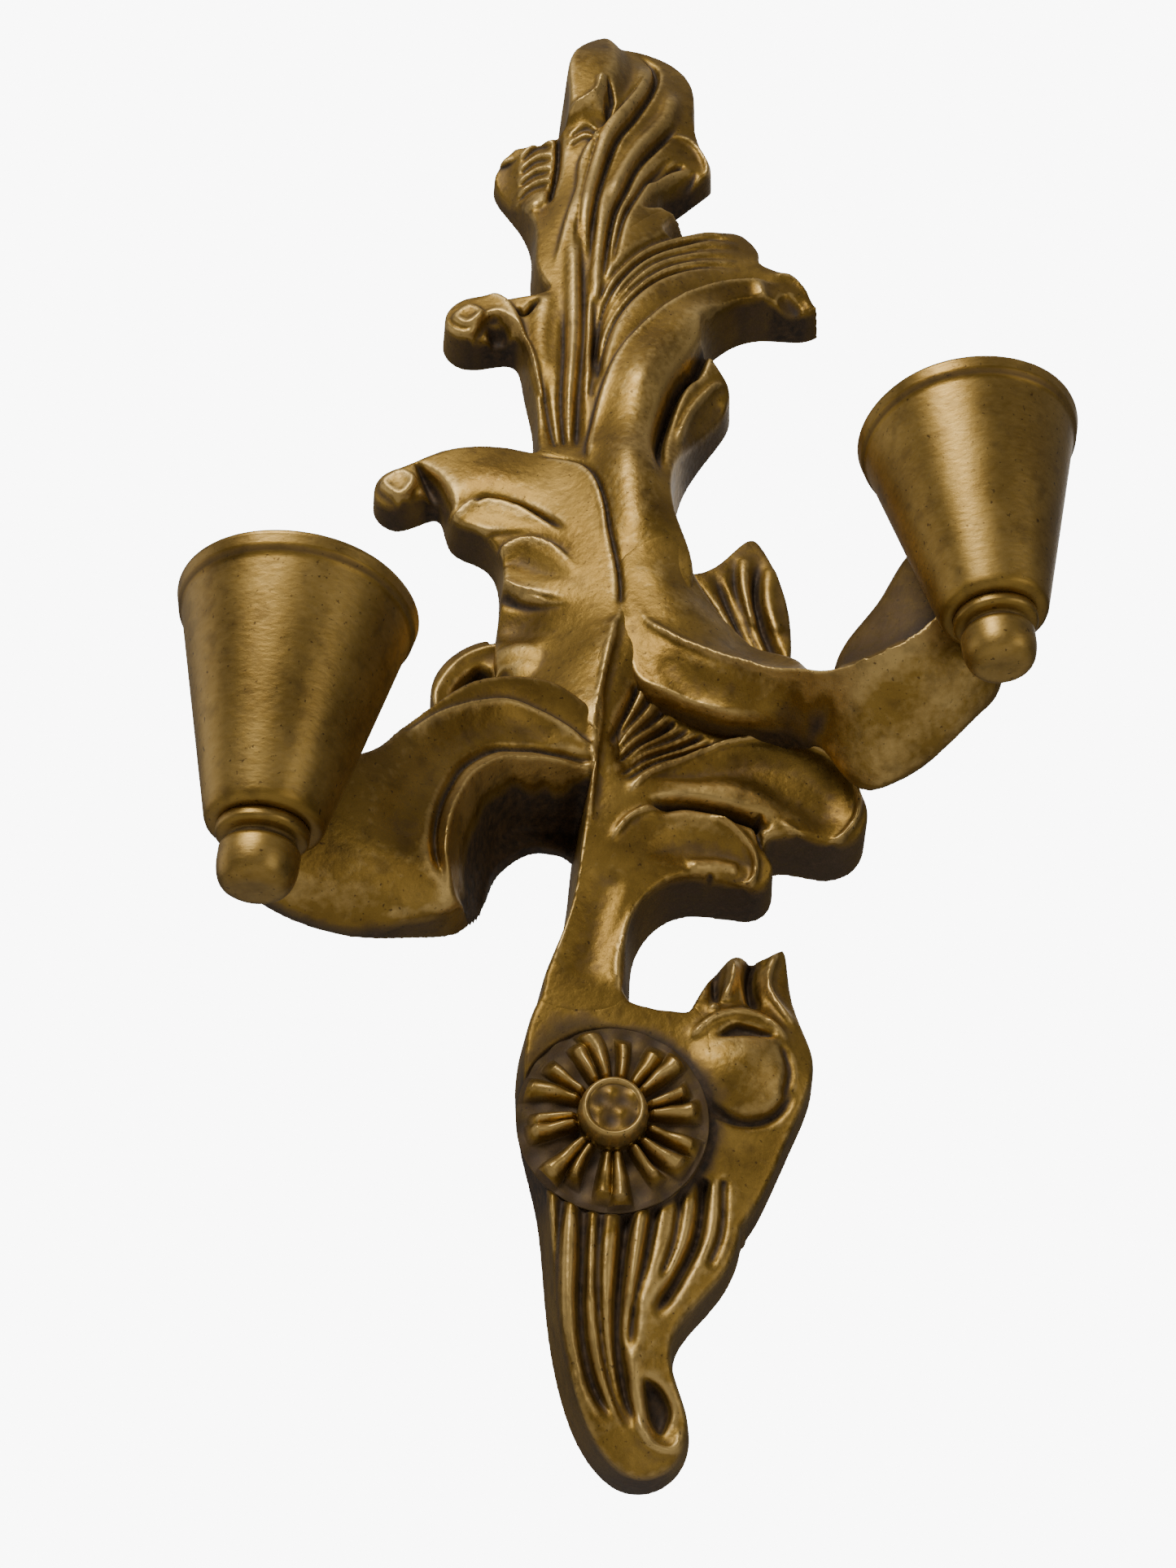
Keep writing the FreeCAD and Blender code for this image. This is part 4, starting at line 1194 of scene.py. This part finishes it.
# ---------------------------------------------------------------- arms
# Each arm seen from the front, as an outline (x, z), and the distance from the wall of its front
# and of its back at some places (x, z, distance).
ARM_OUTLINE = {
    "left": (
        (4, -6), (-6, 3), (-17, 8), (-29, 6), (-39, 0), (-48, -11), (-56, -24), (-63, -38), (-78, -52),
        (-93, -66), (-94, -78), (-82, -86), (-66, -88), (-50, -84), (-38, -78), (-33, -64), (-30, -48),
        (-22, -36), (-12, -34), (0, -38)),
    "right": (
        (1, 62), (9, 71), (21, 77), (26, 67), (31, 58), (37, 49), (45, 40), (53, 32), (58, 22), (60, 8),
        (64, 4), (68, 16), (78, 28), (88, 42), (100, 40), (109, 16), (111, -2), (103, -12), (93, -20),
        (83, -25), (75, -26), (68, -21), (61, -10), (54, -3), (45, 0), (36, 2), (28, 5), (18, 9), (8, 15),
        (4, 34), (2, 46)),
}
ARM_FRONT = {
    "left": (
        (0, -12, 32), (-12, -7, 37), (-29, -4, 43), (-38, -8, 48), (-47, -15, 53), (-56, -28, 60),
        (-62, -42, 67), (-6, -20, 33), (-15, -20, 37), (-29, -25, 44), (-36, -34, 50), (-40, -50, 58),
        (-42, -68, 62), (-52, -60, 65), (-62, -74, 69), (-70, -88, 66), (-80, -85, 73), (-90, -72, 78),
        (-76, -58, 77), (-48, -82, 59)),
    "right": (
        (5, 56, 31), (7, 48, 32), (5, 34, 31), (12, 36, 34), (14, 13, 31), (20, 28, 36), (28, 5, 30),
        (29, 22, 38), (39, 16, 41), (36, 2, 31), (47, 11, 44), (45, 0, 33), (46, 5, 40), (55, 6, 50),
        (54, -2, 36),
        (62, 1, 57), (61, -6, 40), (58, 0, 48), (69, -1, 64), (68, -20, 42), (66, -6, 54), (75, -27, 43),
        (76, -10, 59), (76, -1, 70), (84, 3, 75), (83, -27, 45), (93, -21, 51), (90, -10, 65), (98, 8, 76),
        (102, -14, 59), (110, -3, 66)),
}
# The right arm's inner side, behind its rim, as far as the low fin at the back of the cup.
ARM_RIM = [
    (3, 62), (7, 48), (12, 36), (20, 28), (29, 22), (39, 16), (47, 11), (55, 6), (62, 1), (69, -1), (76, -1),
    (84, 3), (98, 14), (114, 30)]
ARM_INNER = (
    (3, 62, 31), (7, 48, 32), (12, 36, 34), (20, 28, 36), (29, 22, 38), (39, 16, 41), (47, 11, 44),
    (55, 6, 50), (62, 1, 56), (69, -1, 62), (76, -1, 66), (84, 3, 68), (10, 70, 33), (22, 75, 29),
    (18, 56, 32), (24, 44, 33), (29, 60, 26), (35, 40, 28), (38, 48, 22), (46, 37, 22), (52, 26, 30),
    (56, 18, 38), (64, 8, 50), (69, 18, 52), (78, 28, 58), (88, 40, 66), (98, 38, 70), (92, 14, 70),
    (8, 84, 30))
ARM_BACK = {
    "left": (
        (0, -10, 4), (-20, -30, 8), (-30, -60, 22), (-36, -74, 36), (-50, -30, 24), (-60, -82, 50),
        (-88, -75, 62), (-72, -50, 50)),
    "right": (
        (8, 40, 4), (30, 10, 10), (40, 40, 4), (55, 0, 20), (76, -22, 32), (72, 14, 44), (96, -16, 48),
        (104, 6, 56), (90, 38, 54)),
}
SCRIBE_GAP = 0.1
# Least thickness of each arm, and how far the corners along its edge are rounded off.
THINNEST_ARM = {"left": 4.0, "right": 6.0}
ARM_ROUNDING = {"left": 0.0, "right": 2.2}
UNDERCUT = 0.9
UNDERCUT_REACH = 30.0
ARM_EDGE_DROP = 1.2
ARM_EDGE_WIDTH = 2.5
ROOT_PROUD = 0.1
# Lower edge of the right arm's end.
UNDERSIDE = [(62, -13), (68, -22), (75, -28), (84, -28), (94, -22), (104, -14), (113, -2), (113, 8)]
# Line along which each arm grows out of the relief, and the distance over which it does so.
ROOTS = {
    "left": ([(0, 0), (-1, -14), (0, -36)], 8.0),
    "right": ([(0, 40), (0, 62), (9, 71), (21, 77)], 18.0),
}
# Painted shade in each arm's cove.
COVE_SHADE = 0.42


def carve_left_arm(field):
    """Ledge along the top, bead along the lower rim and a deep hollow, whose outline is given back."""
    fold(field, [(0, -14), (-12, -7), (-20, -4), (-29, -3), (-38, -8), (-48, -17), (-57, -31)],
         3, 2.0, (0.02, 0.1))
    ribbon(field, [(-10, -13), (-28, -13), (-42, -27), (-50, -50), (-54, -70)], 9, -2)
    bead = [
        (2, -20), (-15, -20), (-22, -22), (-29, -25), (-36, -34), (-39, -44), (-41, -56), (-41, -68),
        (-38, -78)]
    hollow = bead + [(-20, -82), (4, -60)]
    ridge(field, [(x - 3.4, z + 3.4) for x, z in bead], 2.2, -3.0, (0.02, 0.1))
    scoop(field, hollow, 26, 8)
    ridge(field, bead, 1.8, 2.2, (0.02, 0.1))
    ridge(field, [(-94, -64), (-95, -78), (-82, -87), (-66, -89), (-50, -85)], 8, -6, (0.15, 0.15), 2.0)
    return hollow


def carve_right_arm(field):
    """Rim with the band's inner side leaning back behind it, a hollow face and a round underside."""
    part, _, side, _ = path_coordinates(ARM_RIM, 60)
    inner = smooth_sheet(ARM_INNER)
    field[part] = np.where(side > 0, inner[part], field[part])
    ridge(field, ARM_RIM[1:12], 2.0, 1.7, (0.2, 0.1))
    ribbon(field, [(14, 24), (24, 14), (36, 9), (50, 2), (62, -5)], 6, -1.2)
    ridge(field, [(3, 50), (5, 34), (9, 17), (20, 10), (32, 5), (42, 2)], 1.6, 1.2, (0.05, 0.3))
    ridge(field, UNDERSIDE, 12, -7, (0.3, 0.1), 2.0)


def cup_cutter(side):
    """Cutter for the cup's tapering outside, with a thin gap."""
    base, lip, height = cup_frame(side)
    foot = lip * BASE_SHARE
    rise = (lip - BAND_PROUD - foot) / height

    def distance(x, out, z):
        away = np.hypot(x - base[0], out + base[1])
        return np.maximum(away - foot - rise * (z - base[2]) - SCRIBE_GAP, base[2] - SCRIBE_GAP - z)
    return distance


def screw_cutter(side):
    """Cutter for the counterbore behind the cup's screw."""
    base = cup_frame(side)[0]
    low, high = box_mm("cup_screws")
    radius = high[0] - base[0] if side == "right" else base[0] - low[0]
    level = high[2] - radius if side == "right" else low[2] + radius
    head = -high[1]

    def distance(x, out, z):
        away = np.hypot(x - base[0], z - level)
        return np.maximum(away - radius - 3 * SCRIBE_GAP, out - head - radius * 0.7)
    return distance


def undercut(front):
    """Back of the arm's end that slants up and inwards from its lower edge."""
    part, gap, _, _ = path_coordinates(UNDERSIDE, UNDERCUT_REACH)
    back = np.zeros(X.shape)
    back[part] = front[part] - 2 - gap * UNDERCUT
    return back


def build_arm(side):
    """Scrolled arm: outline, carved front, curved back, scribed to the back of its cup."""
    region = np.full(X.shape, EDGE_REACH)
    part, depth = patch(ARM_OUTLINE[side], 4)
    region[part] = -depth
    front = smooth_sheet(ARM_FRONT[side])
    back = smooth_sheet(ARM_BACK[side])
    cove = np.zeros(X.shape)
    if side == "left":
        scoop(cove, carve_left_arm(front), -1, 5)
    else:
        carve_right_arm(front)
        back = np.maximum(back, undercut(front))
        scoop(cove, [(64, 6), (68, 17), (78, 29), (88, 43), (102, 42), (94, 8), (82, 5), (72, 2)], -0.8, 2)
    line, reach = ROOTS[side]
    part, gap, _, _ = path_coordinates(line, reach)
    weight = np.ones(X.shape)
    weight[part] = smooth_step(gap / reach)
    front = RELIEF_TOP * (1 - weight) + front * weight + ROOT_PROUD
    # Dark glaze with painted shade in hollows, and painted shade in the cove.
    hollow = hollow_measure(front) + COVE_SHADE * cove
    # Painted highlight along the arm's edge.
    edge = np.exp(-((region + 1) / RIM_WIDTH) ** 2)
    hollow = hollow - RIM_HIGHLIGHT * edge * weight
    front = front - ARM_EDGE_DROP * weight * np.clip(1 + region / ARM_EDGE_WIDTH, 0, 1) ** 2
    back = np.minimum(back, front - THINNEST_ARM[side])
    cutters = [cup_cutter(side), screw_cutter(side)]
    link_carved(side + "_arm", *solid_mesh(
        region, front, np.maximum(back, 0), hollow, cutters, rounding=ARM_ROUNDING[side]))


# ---------------------------------------------------------------- kept hardware, stage, light, camera
def finish_hardware():
    """Procedural finishes for the sub-parts that keep their own solids."""
    finishes = {
        STEEL: ("hanger_strap", "hanger_ring", "hanger_screws", "cup_screws", "rosette_pin"),
        BEECH: ("joint_dowels", "arm_dowels"),
    }
    for material, nodes in finishes.items():
        for node in nodes:
            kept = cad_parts[node]
            kept.data.materials.clear()
            kept.data.materials.append(material)


FLOOR_BELOW = 0.45
# Each lamp's name, its place from the sconce's middle and its side in metres, and its power.
LIGHTS = (
    ("key", (-0.45, -0.95, 0.55), 0.5, 11.5),
    ("fill", (0.9, -0.9, -0.2), 0.6, 2.2),
    ("window", (-1.3, 0.1, 0.1), 0.9, 2.2),
    ("back", (0.5, 0.8, 0.9), 0.8, 2.0),
)
# Height in the sky from the bottom to the top, and the brightness there.
SKY_STOPS = ((0.30, 0.015), (0.50, 0.05), (0.72, 0.17), (1.0, 0.36))
BACKDROP_STRENGTH = 9.0


def build_stage():
    """Plain pale floor well below the sconce."""
    bpy.ops.mesh.primitive_plane_add(size=12, location=(0, 0, FRAME_BOUNDS[0][2] - FLOOR_BELOW))
    floor = bpy.context.object
    floor.name = "floor"
    material, nodes, links, shader = new_material("pale_floor")
    tone = ramp(nodes, links, noise(nodes, links, 3.0), [(0.3, grey(0.78)), (0.7, grey(0.82))])
    links.new(tone, shader.inputs["Base Color"])
    shader.inputs["Roughness"].default_value = 0.8
    floor.data.materials.append(material)


def build_lights():
    """Large soft lamps and a pale surround that lights the piece gently."""
    centre = (FRAME_BOUNDS[0] + FRAME_BOUNDS[1]) / 2
    for name, place, side, power in LIGHTS:
        lamp = bpy.data.lights.new(name, "AREA")
        lamp.size = side
        lamp.energy = power
        holder = bpy.data.objects.new(name, lamp)
        holder.location = centre + Vector(place)
        holder.rotation_euler = (-Vector(place)).to_track_quat("-Z", "Y").to_euler()
        bpy.context.scene.collection.objects.link(holder)
    world = bpy.data.worlds.new("surround")
    bpy.context.scene.world = world
    world.use_nodes = True
    nodes, links = world.node_tree.nodes, world.node_tree.links
    sky = nodes["Background"]
    seen = nodes.new("ShaderNodeLightPath")
    backdrop = nodes.new("ShaderNodeBackground")
    mix = nodes.new("ShaderNodeMixShader")
    place = nodes.new("ShaderNodeTexCoord")
    split = nodes.new("ShaderNodeSeparateXYZ")
    links.new(place.outputs["Generated"], split.inputs[0])
    height = scaled(nodes, links, split.outputs["Z"], 0.5, 0.5)
    tone = ramp(nodes, links, height, [(stop, grey(value)) for stop, value in SKY_STOPS])
    links.new(tone, sky.inputs["Color"])
    backdrop.inputs["Color"].default_value = (1, 1, 1, 1)
    backdrop.inputs["Strength"].default_value = BACKDROP_STRENGTH
    links.new(seen.outputs["Is Camera Ray"], mix.inputs["Fac"])
    links.new(sky.outputs[0], mix.inputs[1])
    links.new(backdrop.outputs[0], mix.inputs[2])
    links.new(mix.outputs[0], nodes["World Output"].inputs["Surface"])


CAMERA_PLACE = (-0.012, -0.402, -0.270)
CAMERA_RISE = math.radians(33.6)
CAMERA_TURN = math.radians(1.1)
CAMERA_ROLL = math.radians(-1.6)
CAMERA_LENS = 35.5


def build_camera():
    """Close viewpoint below and in front, looking up at the sconce."""
    rise, turn, roll = CAMERA_RISE, CAMERA_TURN, CAMERA_ROLL
    forward = Vector((math.cos(rise) * math.sin(turn), math.cos(rise) * math.cos(turn), math.sin(rise)))
    right = Vector((math.cos(turn), -math.sin(turn), 0))
    up = right.cross(forward)
    across = right * math.cos(roll) - up * math.sin(roll)
    upward = right * math.sin(roll) + up * math.cos(roll)
    turned = Matrix((across, upward, -forward)).transposed()
    camera = bpy.data.cameras.new("camera")
    camera.lens = CAMERA_LENS
    camera.sensor_width = 36
    camera.clip_start = 0.01
    holder = bpy.data.objects.new("camera", camera)
    holder.matrix_world = Matrix.Translation(CAMERA_PLACE) @ turned.to_4x4()
    bpy.context.scene.collection.objects.link(holder)
    bpy.context.scene.camera = holder


# ---------------------------------------------------------------- everything
build_mouldings()
build_rosette()
for cup_side in ("left", "right"):
    build_cup(cup_side)
    build_finial(cup_side)
    build_liner(cup_side)
    build_arm(cup_side)
finish_hardware()
build_stage()
build_lights()
build_camera()
